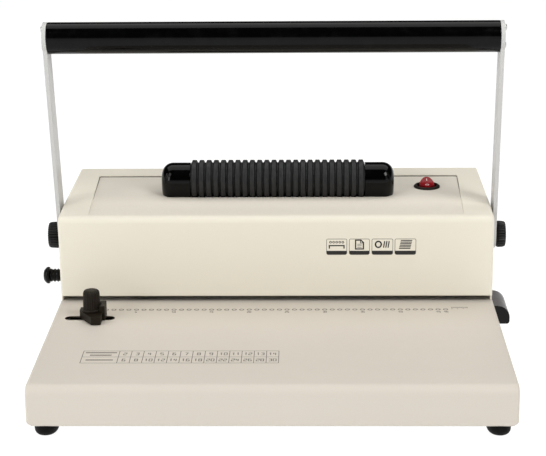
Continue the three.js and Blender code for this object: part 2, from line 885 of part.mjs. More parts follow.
// Cams whose flat follower moves in step with the turn: lead is the lift per radian.

function camLift(turn, base, lead, swing) {
  if (turn <= swing) return { lift: base + lead * turn, slope: lead };
  const span = Math.PI * 2 - swing;
  const t = (turn - swing) / span;
  const high = base + lead * swing;
  const lift = high * (2 * t ** 3 - 3 * t ** 2 + 1) + lead * span * (t ** 3 - 2 * t ** 2 + t)
    + base * (3 * t ** 2 - 2 * t ** 3);
  const slope = (high - base) * (6 * t ** 2 - 6 * t) / span + lead * (3 * t ** 2 - 4 * t + 1);
  return { lift, slope };
}

function camOutline(base, lead, swing, towards, boreRadius) {
  const steps = 32;
  const points = Array.from({ length: steps + 1 }, (_, i) => {
    const turn = Math.PI * 2 * i / steps;
    const { lift, slope } = camLift(turn, base, lead, swing);
    const angle = towards - turn;
    return [
      lift * Math.cos(angle) + slope * Math.sin(angle),
      lift * Math.sin(angle) - slope * Math.cos(angle),
    ];
  });
  const shape = polygon(points.reverse());
  if (boreRadius) shape.holes.push(circle(0, 0, boreRadius));
  return shape;
}

const camMargin = THREE.MathUtils.degToRad(5);

function pressCam(side) {
  const downwards = -Math.PI / 2;
  const bore = shaftRadius + fitGap;
  const shape = camOutline(camBaseRadius, pressLead, leverSwing + camMargin, downwards, bore);
  const x = side * camOffset;
  return prismX(shape, x - camWidth / 2, x + camWidth / 2, arcSegments).translate(0, punchY, shaftZ);
}

// Main shaft and bearings

function mainShaft() {
  const end = armInnerHalf + armThickness + handKnobBoreDepth;
  return latheX([
    [0, -end], [shaftStubRadius, -end],
    [shaftStubRadius, -shaftShoulderHalf], [shaftRadius, -shaftShoulderHalf],
    [shaftRadius, shaftShoulderHalf], [shaftStubRadius, shaftShoulderHalf],
    [shaftStubRadius, end], [0, end],
  ], 0, punchY, shaftZ, innerSides);
}

function bearing(side) {
  const bore = shaftRadius + shaftRunGap;
  const outer = bore + bearingWall;
  const flange = outer + bearingFlangeWidth;
  const ring = latheX([
    [bore, 0], [flange, 0], [flange, bearingFlangeThickness], [outer, bearingFlangeThickness],
    [outer, bearingLength], [bore, bearingLength],
  ], bearingInnerX, punchY, shaftZ, innerSides);
  return side < 0 ? mirrored(ring) : ring;
}

function shaftCollar(side) {
  const bore = shaftStubRadius + fitGap;
  const outer = shaftStubRadius + collarWall;
  const x0 = shaftShoulderHalf + fitGap;
  const x1 = armInnerHalf - fitGap;
  const ring = latheX([[bore, x0], [outer, x0], [outer, x1], [bore, x1]], 0, punchY, shaftZ, innerSides);
  return side < 0 ? mirrored(ring) : ring;
}

addPiece('bearing_left', bearing(-1), brass);
addPiece('bearing_right', bearing(1), brass);
addPiece('main_shaft', mainShaft(), steel);
addPiece('shaft_collar_left', shaftCollar(-1), zinc);
addPiece('shaft_collar_right', shaftCollar(1), zinc);
addPiece('press_cam_left', pressCam(-1), steel);
addPiece('press_cam_right', pressCam(1), steel);

// Press lever, built upright about its pivot and then leaned forward

const lever = new THREE.Group();
lever.position.set(0, punchY, shaftZ);
lever.rotation.x = THREE.MathUtils.degToRad(leverLeanDeg);
machine.add(lever);

function armOutline() {
  const neckDrop = Math.sqrt(gripRadius ** 2 - armNeckHalf ** 2);
  const neckAngle = Math.atan2(-neckDrop, armNeckHalf);
  const shape = new THREE.Shape();
  shape.moveTo(-armPivotRadius, 0);
  shape.absarc(0, 0, armPivotRadius, Math.PI, Math.PI * 2, false);
  shape.absarc(0, leverLength, gripRadius, neckAngle, Math.PI - neckAngle, false);
  shape.holes.push(circle(0, 0, shaftStubRadius + fitGap));
  [-1, 1].forEach((level) => shape.holes.push(circle(
    0, leverLength + level * gripScrewOffset, screwShankRadius + fitGap)));
  return shape;
}

function arm(side) {
  const x = side > 0 ? armInnerHalf : -armInnerHalf - armThickness;
  return prismX(armOutline(), x, x + armThickness, arcSegments);
}

function gripTube() {
  const half = armInnerHalf - fitGap;
  const bore = gripRadius - gripWall;
  return latheX([[bore, -half], [gripRadius, -half], [gripRadius, half], [bore, half]], 0, 0, leverLength);
}

// The plug in the grip's end that the arm is screwed to.
function gripPlug(side) {
  const outer = armInnerHalf - fitGap;
  const inner = outer - gripPlugLength;
  const plug = rodX(gripRadius - gripWall - fitGap, inner, outer, 0, leverLength, innerSides);
  const holes = [-1, 1].map((level) => rodX(screwShankRadius + fitGap, inner - cutOverrun,
    outer + cutOverrun, 0, leverLength + level * gripScrewOffset, tinySides));
  const drilled = cut(plug, group(holes));
  return side < 0 ? mirrored(drilled) : drilled;
}

function gripScrew(side, level) {
  const face = armInnerHalf + armThickness + fitGap;
  const z = leverLength + level * gripScrewOffset;
  const screw = join(
    rodX(screwHeadRadius, face, face + screwHeadHeight, 0, z, smallSides),
    rodX(screwShankRadius, face - gripScrewLength, face + screwHeadHeight / 2, 0, z, tinySides));
  return side < 0 ? mirrored(screw) : screw;
}

function handKnob(side) {
  const size = handKnobBevel;
  const bevel = { bevelThickness: size, bevelSize: size, bevelOffset: -size, bevelSegments: 1 };
  const x0 = armInnerHalf + armThickness + fitGap;
  const shape = ridgedCircle(handKnobRadius, handKnobRidges, handKnobRidgeDepth);
  const body = extrude(shape, handKnobThickness - 2 * handKnobBevel, 1, bevel)
    .applyMatrix4(alongX).translate(x0 + handKnobBevel, punchY, shaftZ);
  const bore = rodX(shaftStubRadius + fitGap, x0 - cutOverrun,
    armInnerHalf + armThickness + handKnobBoreDepth + fitGap, punchY, shaftZ, smallSides);
  const knob = cut(body, bore);
  return side < 0 ? mirrored(knob) : knob;
}

addPiece('arm_left', arm(-1), paleGrey, lever);
addPiece('arm_right', arm(1), paleGrey, lever);
addPiece('grip_tube', gripTube(), blackPlastic, lever);
addPiece('grip_plug_left', gripPlug(-1), blackPlastic, lever);
addPiece('grip_plug_right', gripPlug(1), blackPlastic, lever);
[['left', -1], ['right', 1]].forEach(([end, side]) => {
  [['upper', 1], ['lower', -1]].forEach(([place, level]) => {
    addPiece(`grip_screw_${end}_${place}`, gripScrew(side, level), zinc, lever);
  });
});
addPiece('hand_knob_left', handKnob(-1), blackPlastic);
addPiece('hand_knob_right', handKnob(1), blackPlastic);

// Coil inserter

function coilRoller() {
  const bore = rollerShaftRadius + fitGap;
  const halfCrest = rollerRibCrest / 2;
  const profile = [[bore, -rollerHalf]];
  for (let i = 0; i < rollerRibs; i += 1) {
    const middle = -rollerHalf + (i + 0.5) * coilPitch;
    profile.push([rollerRootRadius, middle - coilPitch / 2]);
    profile.push([rollerRibRadius, middle - halfCrest], [rollerRibRadius, middle + halfCrest]);
  }
  profile.push([rollerRootRadius, rollerHalf], [bore, rollerHalf]);
  return latheX(profile, 0, rollerY, rollerZ, rollerSides);
}

function rollerShaft() {
  const left = -earOuterHalf - rollerBearingWall;
  const right = pulleyOffset + pulleyWidth + pulleyFlange;
  return rodX(rollerShaftRadius, left, right, rollerY, rollerZ, innerSides);
}

function pulley(radius, boreRadius, z) {
  const rim = radius + pulleyFlange;
  const profile = [
    [rim, 0], [rim, pulleyFlange / 2], [radius, pulleyFlange], [radius, pulleyWidth - pulleyFlange],
    [rim, pulleyWidth - pulleyFlange / 2], [rim, pulleyWidth],
  ];
  const inner = boreRadius ? [[boreRadius, pulleyWidth], [boreRadius, 0]] : [[0, pulleyWidth], [0, 0]];
  return latheX([...profile, ...inner], pulleyOffset, rollerY, z, innerSides);
}

function motorPulley() {
  const shaft = rodX(motorShaftRadius, earHalf - motorBossLength, pulleyOffset + pulleyWidth / 2,
    rollerY, motorZ, smallSides);
  return join(pulley(motorPulleyRadius, 0, motorZ), shaft);
}

function beltLoop(grow) {
  const upper = rollerPulleyRadius + fitGap + grow;
  const lower = motorPulleyRadius + fitGap + grow;
  const lean = Math.asin((upper - lower) / (rollerZ - motorZ));
  const shape = new THREE.Shape();
  shape.absarc(rollerY, rollerZ, upper, -lean, Math.PI + lean, false);
  shape.absarc(rollerY, motorZ, lower, Math.PI + lean, Math.PI * 2 - lean, false);
  return shape;
}

function driveBelt() {
  const x0 = pulleyOffset + pulleyFlange + fitGap;
  const x1 = pulleyOffset + pulleyWidth - pulleyFlange - fitGap;
  return cut(prismX(beltLoop(beltThickness), x0, x1, arcSegments),
    prismX(beltLoop(0), x0 - cutOverrun, x1 + cutOverrun, arcSegments));
}

function earShape() {
  const shape = new THREE.Shape();
  shape.moveTo(rollerY - earRadius, channelFloor);
  shape.lineTo(rollerY + earRadius, channelFloor);
  shape.absarc(rollerY, rollerZ, earRadius, 0, Math.PI, false);
  return shape;
}

function rollerFrame() {
  const y0 = rollerY - channelHalfDepth;
  const y1 = rollerY + channelHalfDepth;
  const inside = channelFloor + channelWall;
  const lipZ = channelTop - channelWall;
  const section = polygon([
    [y0 - channelLip, channelTop], [y0 - channelLip, lipZ], [y0, lipZ], [y0, channelFloor],
    [y1, channelFloor], [y1, lipZ], [y1 + channelLip, lipZ], [y1 + channelLip, channelTop],
    [y1 - channelWall, channelTop], [y1 - channelWall, inside], [y0 + channelWall, inside],
    [y0 + channelWall, channelTop],
  ]);
  const motorPlate = box(earHalf, earOuterHalf, rollerY - motorPlateHalf, rollerY + motorPlateHalf,
    motorZ - motorPlateHalf, inside);
  const ears = [-earOuterHalf, earHalf].map((x) => prismX(earShape(), x, x + earThickness, arcSegments));
  const bearingRadius = rollerShaftRadius + rollerRunGap + rollerBearingWall + fitGap;
  const bossRadius = motorBossRadius + fitGap;
  const end = earOuterHalf + cutOverrun;
  return cut(
    join(prismX(section, -earOuterHalf, earOuterHalf), ...ears, motorPlate),
    rodX(bearingRadius, -end, end, rollerY, rollerZ, innerSides),
    rodX(bossRadius, earHalf - cutOverrun, end, rollerY, motorZ, innerSides));
}

function rollerBearing(side) {
  const bore = rollerShaftRadius + rollerRunGap;
  const outer = bore + rollerBearingWall;
  const flange = outer + rollerBearingWall / 2;
  const ring = latheX([
    [bore, earHalf], [outer, earHalf], [outer, earOuterHalf + fitGap], [flange, earOuterHalf + fitGap],
    [flange, earOuterHalf + rollerBearingWall], [bore, earOuterHalf + rollerBearingWall],
  ], 0, rollerY, rollerZ, innerSides);
  return side < 0 ? mirrored(ring) : ring;
}

function capArch(radius, bottom) {
  const shape = new THREE.Shape();
  shape.moveTo(rollerY - radius, bottom);
  shape.lineTo(rollerY + radius, bottom);
  shape.absarc(rollerY, rollerZ, radius, 0, Math.PI, false);
  return shape;
}

// One end of a rounded arch, cut square where it faces the roller.
function capForm(inset, wallX) {
  const outerX = capInnerHalf + capLength - inset;
  const radius = capEndRadius - inset;
  const bottom = recessFloor - capRadius - cutOverrun;
  const long = roundedPrismX(capArch(capRadius - inset, bottom), wallX - 3 * radius, outerX, radius);
  return cut(long, box(0, wallX, -baseDepth, baseDepth, 0, housingTop * 2));
}

function rollerCap(side) {
  const below = box(0, baseHalf, -baseDepth, baseDepth, 0, recessFloor);
  const shaftHole = rodX(rollerShaftRadius + 2 * fitGap, 0, earHalf, rollerY, rollerZ, innerSides);
  const cap = cut(capForm(0, capInnerHalf), capForm(capWall, capInnerHalf + capWall), below, shaftHole);
  return side < 0 ? mirrored(cap) : cap;
}

function motorBody() {
  const bore = motorShaftRadius + fitGap;
  const chamfer = motorBossLength / 2;
  const front = earHalf - fitGap;
  const body = latheX([
    [0, -motorLength], [motorRadius - chamfer, -motorLength], [motorRadius, chamfer - motorLength],
    [motorRadius, -chamfer], [motorRadius - chamfer, 0], [motorBossRadius, 0],
    [motorBossRadius, motorBossLength - chamfer], [0, motorBossLength - chamfer],
  ], front, rollerY, motorZ, innerSides);
  const socket = rodX(bore, earHalf - motorBossLength - fitGap, front + motorBossLength,
    rollerY, motorZ, smallSides);
  return cut(body, socket);
}

addPiece('coil_roller', coilRoller(), blackRubber);
addPiece('roller_shaft', rollerShaft(), steel);
addPiece('roller_pulley', pulley(rollerPulleyRadius, rollerShaftRadius + fitGap, rollerZ), blackPlastic);
addPiece('motor_pulley', motorPulley(), blackPlastic);
addPiece('drive_belt', driveBelt(), blackRubber);
addPiece('roller_frame', rollerFrame(), zinc);
addPiece('roller_bearing_left', rollerBearing(-1), brass);
addPiece('roller_bearing_right', rollerBearing(1), brass);
addPiece('roller_cap_left', rollerCap(-1), blackPlastic);
addPiece('roller_cap_right', rollerCap(1), blackPlastic);
addPiece('motor', motorBody(), zinc);

// Rocker switch

function switchBody() {
  const rimTop = bezelHeight;
  const collar = bezelRadius - bezelHeight / 2;
  return latheZ([
    [0, -switchBarrelLength], [switchBarrelRadius, -switchBarrelLength], [switchBarrelRadius, 0],
    [bezelRadius, 0], [bezelRadius, rimTop / 2], [collar, rimTop], [switchWellRadius, rimTop],
    [switchWellRadius, rimTop - switchWellDepth], [0, rimTop - switchWellDepth],
  ], switchX, switchY, recessFloor);
}

function switchRocker() {
  const profile = polygon([
    [-rockerKeelHalf, -rockerKeelDepth], [rockerKeelHalf, -rockerKeelDepth], [rockerRadius, -rockerAxisDrop],
    [rockerRadius, rockerEndHeight], [0, rockerMiddleHeight], [-rockerRadius, rockerEndHeight],
    [-rockerRadius, -rockerAxisDrop],
  ]);
  return overlapOf(prismX(profile, -rockerRadius, rockerRadius),
    rodZ(rockerRadius, 0, 0, -rockerKeelDepth * 2, rockerEndHeight * 2));
}

addPiece('switch_body', switchBody(), blackPlastic);
const rocker = addPiece('switch_rocker', switchRocker(), redPlastic);
rocker.position.set(switchX, switchY, recessFloor + bezelHeight - rockerAxisDrop);
rocker.rotation.x = THREE.MathUtils.degToRad(rockerTiltDeg);

// Edge guide

function guideBlock() {
  const left = guideX - guideLeftReach;
  const right = guideX + guideRightReach;
  const rear = slotY + guideRearReach;
  const nose = slotY - guideNoseReach;
  const z0 = tableZ + fitGap;
  const z1 = z0 + guideHeight;
  const plan = polygon([
    [left, rear], [left, slotY], [right - guideNoseHalf, nose], [right - sheet, nose], [right, nose + sheet],
    [right, rear],
  ]);
  const stop = box(right - guideStopThickness + 2 * sheet, right + 2 * sheet, rear - guideStopDepth, rear,
    z0, z0 + guideStopHeight);
  const tongue = box(guideX - guideTongueHalf, guideX + guideTongueHalf, slotY - slotWidth / 2 + fitGap,
    slotY + slotWidth / 2 - fitGap, tableZ - sheet, z1);
  return cut(join(prismZ(plan, z0, z1), stop, tongue),
    rodZ(clampScrewRadius + fitGap, guideX, slotY, tableZ - cutOverrun, z1 + cutOverrun, smallSides),
    rodZ(clampCollarRadius + fitGap, guideX, slotY, z1, z1 + guideStopHeight));
}

function guideNut() {
  const top = tableZ - sheet - fitGap;
  const body = box(guideX - guideNutHalf, guideX + guideNutHalf, slotY - guideNutDepth / 2,
    slotY + guideNutDepth / 2, top - guideNutHeight, top);
  return cut(body, rodZ(clampScrewRadius + fitGap, guideX, slotY, 0, tableZ, smallSides));
}

function clampKnob() {
  const foot = tableZ + guideHeight + 2 * fitGap;
  const size = clampKnobBevel;
  const bevel = { bevelThickness: size, bevelSize: size, bevelOffset: -size, bevelSegments: 2 };
  const shape = ridgedCircle(clampKnobRadius, clampKnobRidges, clampKnobRidgeDepth);
  const grip = extrude(shape, clampKnobHeight - 2 * clampKnobBevel, 1, bevel)
    .translate(guideX, slotY, foot + clampKnobBevel);
  return join(grip,
    rodZ(clampCollarRadius, guideX, slotY, foot, foot + clampCollarHeight),
    rodZ(clampScrewRadius, guideX, slotY, tableZ - sheet - guideNutHeight - 2 * fitGap,
      foot + clampCollarHeight, smallSides));
}

addPiece('guide_block', guideBlock(), blackPlastic);
addPiece('guide_nut', guideNut(), zinc);
addPiece('clamp_knob', clampKnob(), blackPlastic);

// Margin knob and back gauge

function marginKnob() {
  const root = housingHalf + fitGap;
  const profile = [[0, root - sheet], [marginRodRadius, root - sheet], [marginRodRadius, root]];
  for (let i = 0; i < marginRidges; i += 1) {
    const x = root + i * marginRidgePitch;
    profile.push([marginRootRadius, x]);
    profile.push([marginShankRadius, x + marginRidgePitch / 2]);
  }
  const head = marginOutHalf - marginHeadLength;
  profile.push([marginRootRadius, head], [marginHeadRadius, head + marginHeadLength / 4]);
  profile.push([marginHeadRadius, head + marginHeadLength / 2]);
  profile.push([marginHeadRadius * marginFaceShare, marginOutHalf], [0, marginOutHalf]);
  const knob = mirrored(latheX(profile, 0, marginY, marginZ, innerSides));
  const snailLead = snailTravel / snailSwing;
  const snail = prismX(camOutline(snailBaseRadius, snailLead, snailSwing, 0, 0), snailOuterX,
    snailOuterX + snailWidth).translate(0, marginY, marginZ);
  const rod = rodX(marginRodRadius, -root, snailOuterX + snailWidth / 2, marginY, marginZ, smallSides);
  return join(knob, rod, snail);
}

function backGauge() {
  const z0 = tableZ + fitGap;
  const z1 = throatZ - fitGap;
  const lugFront = marginY + snailBaseRadius + fitGap;
  const x1 = snailOuterX + snailWidth;
  return join(
    box(snailOuterX, gaugeHalfWidth, gaugeFront, gaugeFront + gaugeDepth, z0, z1),
    box(snailOuterX, x1, lugFront, gaugeFront + gaugeDepth / 2, z0, z1),
    box(snailOuterX, x1, lugFront, lugFront + gaugeLugThickness, z0, z0 + gaugeLugHeight));
}

addPiece('margin_knob', marginKnob(), blackPlastic);
addPiece('back_gauge', backGauge(), steel);

// Chip drawer

function chipDrawer() {
  const top = drawerBottom + drawerHeight;
  const tray = box(drawerLeftX, baseHalf, drawerFrontY, drawerRear, drawerBottom, top);
  const hollow = box(drawerLeftX + drawerWall, baseHalf - drawerWall, drawerFrontY + drawerWall,
    drawerRear - drawerWall, drawerBottom + drawerWall, top + cutOverrun);
  return cut(tray, hollow);
}

function drawerPull() {
  const bottom = footHeight + pullLift;
  const top = bottom + pullHeight;
  const x0 = baseHalf + fitGap;
  const shape = new THREE.Shape();
  shape.moveTo(x0, bottom);
  shape.absarc(pullOutX - pullToeRadius, bottom + pullToeRadius, pullToeRadius, -Math.PI / 2, 0, false);
  shape.absarc(pullOutX - pullTopRadius, top - pullTopRadius, pullTopRadius, 0, Math.PI / 2, false);
  shape.lineTo(x0, top);
  const body = extrude(shape, pullLength, 5).rotateX(Math.PI / 2).translate(0, pullFrontY + pullLength, 0);
  const pocket = box(x0 + pullWall, pullOutX - 2 * pullWall, pullFrontY + pullWall,
    pullFrontY + pullLength - pullWall, bottom - cutOverrun, top - pullTopRadius);
  return cut(body, pocket);
}

function drawerRail(y0) {
  const x1 = frameInnerHalf - frameThickness;
  return box(drawerLeftX, x1, y0, y0 + railWidth, basePlateTop, basePlateTop + railHeight);
}

addPiece('chip_drawer', chipDrawer(), zinc);
addPiece('drawer_pull', drawerPull(), blackPlastic);
addPiece('drawer_rail_front', drawerRail(drawerFrontY - fitGap - railWidth), zinc);
addPiece('drawer_rail_rear', drawerRail(drawerRear + fitGap), zinc);

export default machine;
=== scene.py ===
import math

import bmesh
import bpy
from mathutils import Matrix, Vector


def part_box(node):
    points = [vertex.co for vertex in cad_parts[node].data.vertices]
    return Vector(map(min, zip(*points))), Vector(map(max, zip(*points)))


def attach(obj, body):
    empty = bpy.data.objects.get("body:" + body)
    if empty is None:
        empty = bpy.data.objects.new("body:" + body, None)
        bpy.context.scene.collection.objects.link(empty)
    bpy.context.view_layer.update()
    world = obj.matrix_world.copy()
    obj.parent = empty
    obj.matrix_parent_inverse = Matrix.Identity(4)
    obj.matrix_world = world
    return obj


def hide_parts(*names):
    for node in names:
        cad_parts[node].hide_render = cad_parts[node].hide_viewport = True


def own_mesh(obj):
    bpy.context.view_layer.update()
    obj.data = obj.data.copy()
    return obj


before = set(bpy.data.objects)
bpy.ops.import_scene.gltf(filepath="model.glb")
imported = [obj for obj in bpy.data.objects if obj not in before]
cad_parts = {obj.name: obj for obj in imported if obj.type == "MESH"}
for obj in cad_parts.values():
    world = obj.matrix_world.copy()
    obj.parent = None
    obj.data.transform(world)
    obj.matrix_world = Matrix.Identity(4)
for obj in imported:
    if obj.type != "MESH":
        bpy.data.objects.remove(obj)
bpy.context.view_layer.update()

MM = 0.001
SIDES = (-1, 1)

# Sizes repeated from the part's source; a pair is the place of an axis
FOOT = 8.7
SHEET = 1.2
BASE_HALF = 185
DEPTH_HALF = 174
TABLE_Z = 40.7
THROAT_Z = 45.7
TOP_Z = 117.2
RECESS_Z = 115.7
HOUSING_FRONT = 18
CREST_Y = 60.5
REAR_Y = 173
REAR_SCREW_X = 177.2
SHAFT = (63, 87.1)
ROLLER = (93, 128.7)
SWITCH = (133.5, 113.5)
GUIDE = (-152.3, -22.5)
MARGIN = (39.2, 57.9)
INLET = (120, 63.7)
LEAN = math.radians(7.15)
LEVER_LENGTH = 179
SCREW_REACH = 7.5
PITCH = 6.35

# Sizes of the scene alone, fitted to the photo
HOUSING_HALF = 184
BEND_Z = 115.7
BEND_RADIUS = 5.5
RECESS_HALF = 163.7
RECESS_FRONT = 26
RECESS_REAR = 149.5
RECESS_TAPER = 4.5
RECESS_CORNER = 2.5
# where the painted light on the housing top fades in, and where the painted shade strip in the recess
# begins
RECESS_FADE = 76
LEVER_SHIFT = -0.7
ARM_DRIFT = 2.05
ARM_SPREAD = 2.85
ARM_INNER = 186.8
ARM_THICK = 3.4
ARM_PIVOT_RADIUS = 12
ARM_NECK = 10.6
GRIP_RADIUS = 13.19
KNOB_FACE = 190.6
ROLLER_SHIFT = 0.8
ROLLER_CREST = 17.2
CAP_INNER = 76.5
CAP_END = 102
INK_LIFT = 0.03


def sided(stem, side):
    return stem + ("_right" if side > 0 else "_left")


def link_object(name, data):
    made = bpy.data.objects.new(name, data)
    bpy.context.scene.collection.objects.link(made)
    return made


# Camera

def make_camera():
    """The photo's camera: angles in radians, the focal length in pixels of the picture."""
    yaw, tilt, roll = -0.0224, 0.2942, -0.0088
    focal_pixels, picture_width, sensor_width = 1680.03, 546, 36
    place = Vector((28.23, -1336.04, 476.13 + TABLE_Z)) * MM
    ahead = Vector((math.sin(yaw) * math.cos(tilt), math.cos(yaw) * math.cos(tilt), -math.sin(tilt)))
    right = Vector((math.cos(yaw), -math.sin(yaw), 0))
    up = right.cross(ahead)
    across = math.cos(roll) * right + math.sin(roll) * up
    above = -math.sin(roll) * right + math.cos(roll) * up
    data = bpy.data.cameras.new("camera")
    data.sensor_fit = "HORIZONTAL"
    data.sensor_width = sensor_width
    data.lens = focal_pixels / picture_width * sensor_width
    data.clip_start = 0.05
    data.clip_end = 40
    camera = link_object("camera", data)
    camera.matrix_world = Matrix.Translation(place) @ Matrix((across, above, -ahead)).transposed().to_4x4()
    bpy.context.scene.camera = camera


# Material nodes

class Nodes:
    """A node tree built step by step, with the place that its textures read."""

    def __init__(self, tree, coordinates):
        self.tree = tree
        self.place = self.add("ShaderNodeTexCoord").outputs[coordinates]

    def add(self, kind):
        return self.tree.nodes.new(kind)

    def link(self, start, end):
        self.tree.links.new(start, end)

    def coordinate(self, axis):
        node = self.add("ShaderNodeSeparateXYZ")
        self.link(self.place, node.inputs["Vector"])
        return node.outputs[axis]

    def spread(self, value, low=0.0, high=1.0, start=0.3, end=0.7):
        """The value's part from start to end, mapped from low to high."""
        node = self.add("ShaderNodeMapRange")
        for key, number in (("From Min", start), ("From Max", end), ("To Min", low), ("To Max", high)):
            node.inputs[key].default_value = number
        self.link(value, node.inputs["Value"])
        return node.outputs["Result"]


class Look(Nodes):
    """A material, and the slot that it fills: its own name unless another is given."""

    slots = {}

    def __init__(self, name, slot=None, shine=0.5, metallic=0.0):
        self.material = bpy.data.materials.new(name)
        self.material.use_nodes = True
        super().__init__(self.material.node_tree, "Object")
        self.shader = self.tree.nodes["Principled BSDF"]
        self.shader.inputs["Specular IOR Level"].default_value = shine
        self.shader.inputs["Metallic"].default_value = metallic
        Look.slots[self.material.name] = slot or name

    def noise(self, scale, detail=2.0, roughness=0.5, stretch=None):
        place = self.place
        if stretch:
            mapping = self.add("ShaderNodeMapping")
            mapping.inputs["Scale"].default_value = stretch
            self.link(place, mapping.inputs["Vector"])
            place = mapping.outputs["Vector"]
        node = self.add("ShaderNodeTexNoise")
        for key, number in (("Scale", scale), ("Detail", detail), ("Roughness", roughness)):
            node.inputs[key].default_value = number
        self.link(place, node.inputs["Vector"])
        return node.outputs["Fac"]

    def mix(self, share, first, second):
        """The first colour, and as much of the second as the share says."""
        node = self.add("ShaderNodeMix")
        node.data_type = "RGBA"
        self.link(share, node.inputs[0])
        for socket, value in ((6, first), (7, second)):
            if isinstance(value, bpy.types.NodeSocket):
                self.link(value, node.inputs[socket])
            else:
                node.inputs[socket].default_value = value
        return node.outputs[2]

    def color(self, socket):
        self.link(socket, self.shader.inputs["Base Color"])

    def rough(self, socket):
        self.link(socket, self.shader.inputs["Roughness"])

    def bump(self, height, strength, distance):
        node = self.add("ShaderNodeBump")
        node.inputs["Strength"].default_value = strength
        node.inputs["Distance"].default_value = distance
        self.link(height, node.inputs["Height"])
        self.link(node.outputs["Normal"], self.shader.inputs["Normal"])


def tinted(color, factor, offset=0.0):
    return tuple(c * factor + offset for c in color[:3]) + (1.0,)


def powder_coat(name, color, rough=0.5, painted_light_color=None, slot=None):
    """Baked powder paint: fine orange peel, faint cloudiness and slightly brighter edges, partly wear and
    partly a painted highlight. Given a painted light colour, it brightens towards the front as painted
    light.
    """
    look = Look(name, slot, shine=0.25)
    cloud = look.spread(look.noise(9.0, 3.0))
    base = look.mix(cloud, tinted(color, 0.985), tinted(color, 1.012))
    # painted light: towards the front the colour fades into the lit colour, standing in for the stronger
    # light on the front of the housing top
    if painted_light_color:
        fade = 12
        rear_share = look.spread(look.coordinate("Y"), start=(RECESS_FADE - fade) * MM,
                                 end=(RECESS_FADE + fade) * MM)
        base = look.mix(rear_share, painted_light_color, base)
    fleck = look.spread(look.noise(2600.0, 1.0), start=0.35, end=0.7)
    base = look.mix(fleck, base, tinted(color, 0.975))
    # brighter convex edges: partly rubbed wear, partly a painted highlight along the edges
    pointed = look.add("ShaderNodeNewGeometry").outputs["Pointiness"]
    wear_and_edge_highlight = look.spread(pointed, high=0.5, start=0.56, end=0.72)
    look.color(look.mix(wear_and_edge_highlight, base, tinted(color, 1.06)))
    look.rough(look.spread(look.noise(60.0, 3.0), rough - 0.04, rough + 0.06))
    look.bump(look.noise(900.0, 2.0, 0.55), 0.16, 0.00012)
    return look.material


def moulded(name, color, rough, texture, grain=1500.0, shine=0.5, slot=None):
    """Moulded plastic: fine spark texture, a little dust in patches and uneven gloss."""
    look = Look(name, slot, shine)
    dust = look.spread(look.noise(70.0, 4.0, 0.6), start=0.5, end=0.8)
    look.color(look.mix(dust, color, tinted(color, 1.2, 0.002)))
    look.rough(look.spread(look.noise(120.0, 3.0), rough - 0.05, rough + 0.08))
    look.bump(look.noise(grain), texture, 0.00006)
    return look.material


def rubber(name, color, rough=0.5, shine=0.35):
    """Dull rubber with a powdery bloom and fine grain."""
    look = Look(name, shine=shine)
    bloom = look.spread(look.noise(240.0, 4.0, 0.65), start=0.4, end=0.75)
    look.color(look.mix(bloom, color, tinted(color, 1.5, 0.004)))
    look.rough(look.spread(look.noise(300.0), rough - 0.08, rough + 0.1))
    look.bump(look.noise(1800.0), 0.25, 0.00008)
    return look.material


def ground_steel(name, color, rough=0.32, stretch=(4.0, 260.0, 260.0)):
    """Ground or drawn steel with fine lines along X and faint oil stains."""
    look = Look(name, metallic=1.0)
    lines = look.noise(6.0, 4.0, 0.6, stretch)
    stain = look.spread(look.noise(25.0, 3.0), start=0.45, end=0.75)
    base = look.mix(look.spread(lines), tinted(color, 0.92), tinted(color, 1.06))
    look.color(look.mix(stain, base, tinted(color, 0.8)))
    look.rough(look.spread(lines, rough - 0.08, rough + 0.12))
    look.bump(lines, 0.12, 0.00005)
    return look.material


def plated(name, color, rough=0.36):
    """Zinc plate with its patchy spangle and a few rubbed spots."""
    look = Look(name, metallic=1.0)
    cells = look.add("ShaderNodeTexVoronoi")
    cells.inputs["Scale"].default_value = 260.0
    look.link(look.place, cells.inputs["Vector"])
    flake = look.spread(cells.outputs["Distance"], start=0.1, end=0.8)
    rubbed = look.spread(look.noise(45.0, 3.0), start=0.5, end=0.8)
    base = look.mix(flake, tinted(color, 0.95), tinted(color, 1.05))
    look.color(look.mix(rubbed, base, tinted(color, 0.86)))
    look.rough(look.spread(look.noise(90.0, 3.0), rough - 0.08, rough + 0.1))
    look.bump(look.noise(700.0), 0.08, 0.00006)
    return look.material


def ink(name, color, rough=0.5, slot="cover_paint"):
    """Screen-printed ink with slightly uneven cover."""
    look = Look(name, slot)
    thin = look.spread(look.noise(1500.0), start=0.35, end=0.75)
    look.color(look.mix(thin, color, tinted(color, 1.4, 0.01)))
    look.rough(look.spread(look.noise(200.0), rough - 0.05, rough + 0.08))
    return look.material


# Outlines

def rounded(points, steps=6):
    """An outline whose (a, b, radius) corners are rounded; a corner without a radius stays sharp."""
    result = []
    count = len(points)
    for i, corner in enumerate(points):
        here = Vector(corner[:2])
        radius = corner[2] if len(corner) > 2 else 0
        if not radius:
            result.append(tuple(here))
            continue
        before = (Vector(points[i - 1][:2]) - here).normalized()
        after = (Vector(points[(i + 1) % count][:2]) - here).normalized()
        half = before.angle(after) / 2
        reach = radius / math.tan(half)
        middle = here + (before + after).normalized() * (radius / math.sin(half))
        start = here + before * reach - middle
        sweep = start.angle_signed(here + after * reach - middle)
        base = math.atan2(start.y, start.x)
        for k in range(steps + 1):
            turn = base - sweep * k / steps
            result.append((middle.x + radius * math.cos(turn), middle.y + radius * math.sin(turn)))
    return result


def rectangle(a0, a1, b0, b1, radii=(0, 0, 0, 0), steps=6):
    """A rectangle's outline from its low corner round; each corner has its own radius."""
    corners = ((a0, b0), (a1, b0), (a1, b1), (a0, b1))
    return rounded([(*corner, radius) for corner, radius in zip(corners, radii)], steps)


def arc(middle, radius, start, end, steps):
    """Points of an arc; the angles are in degrees."""
    turns = [math.radians(start + (end - start) * k / steps) for k in range(steps + 1)]
    return [(middle[0] + radius * math.cos(turn), middle[1] + radius * math.sin(turn)) for turn in turns]


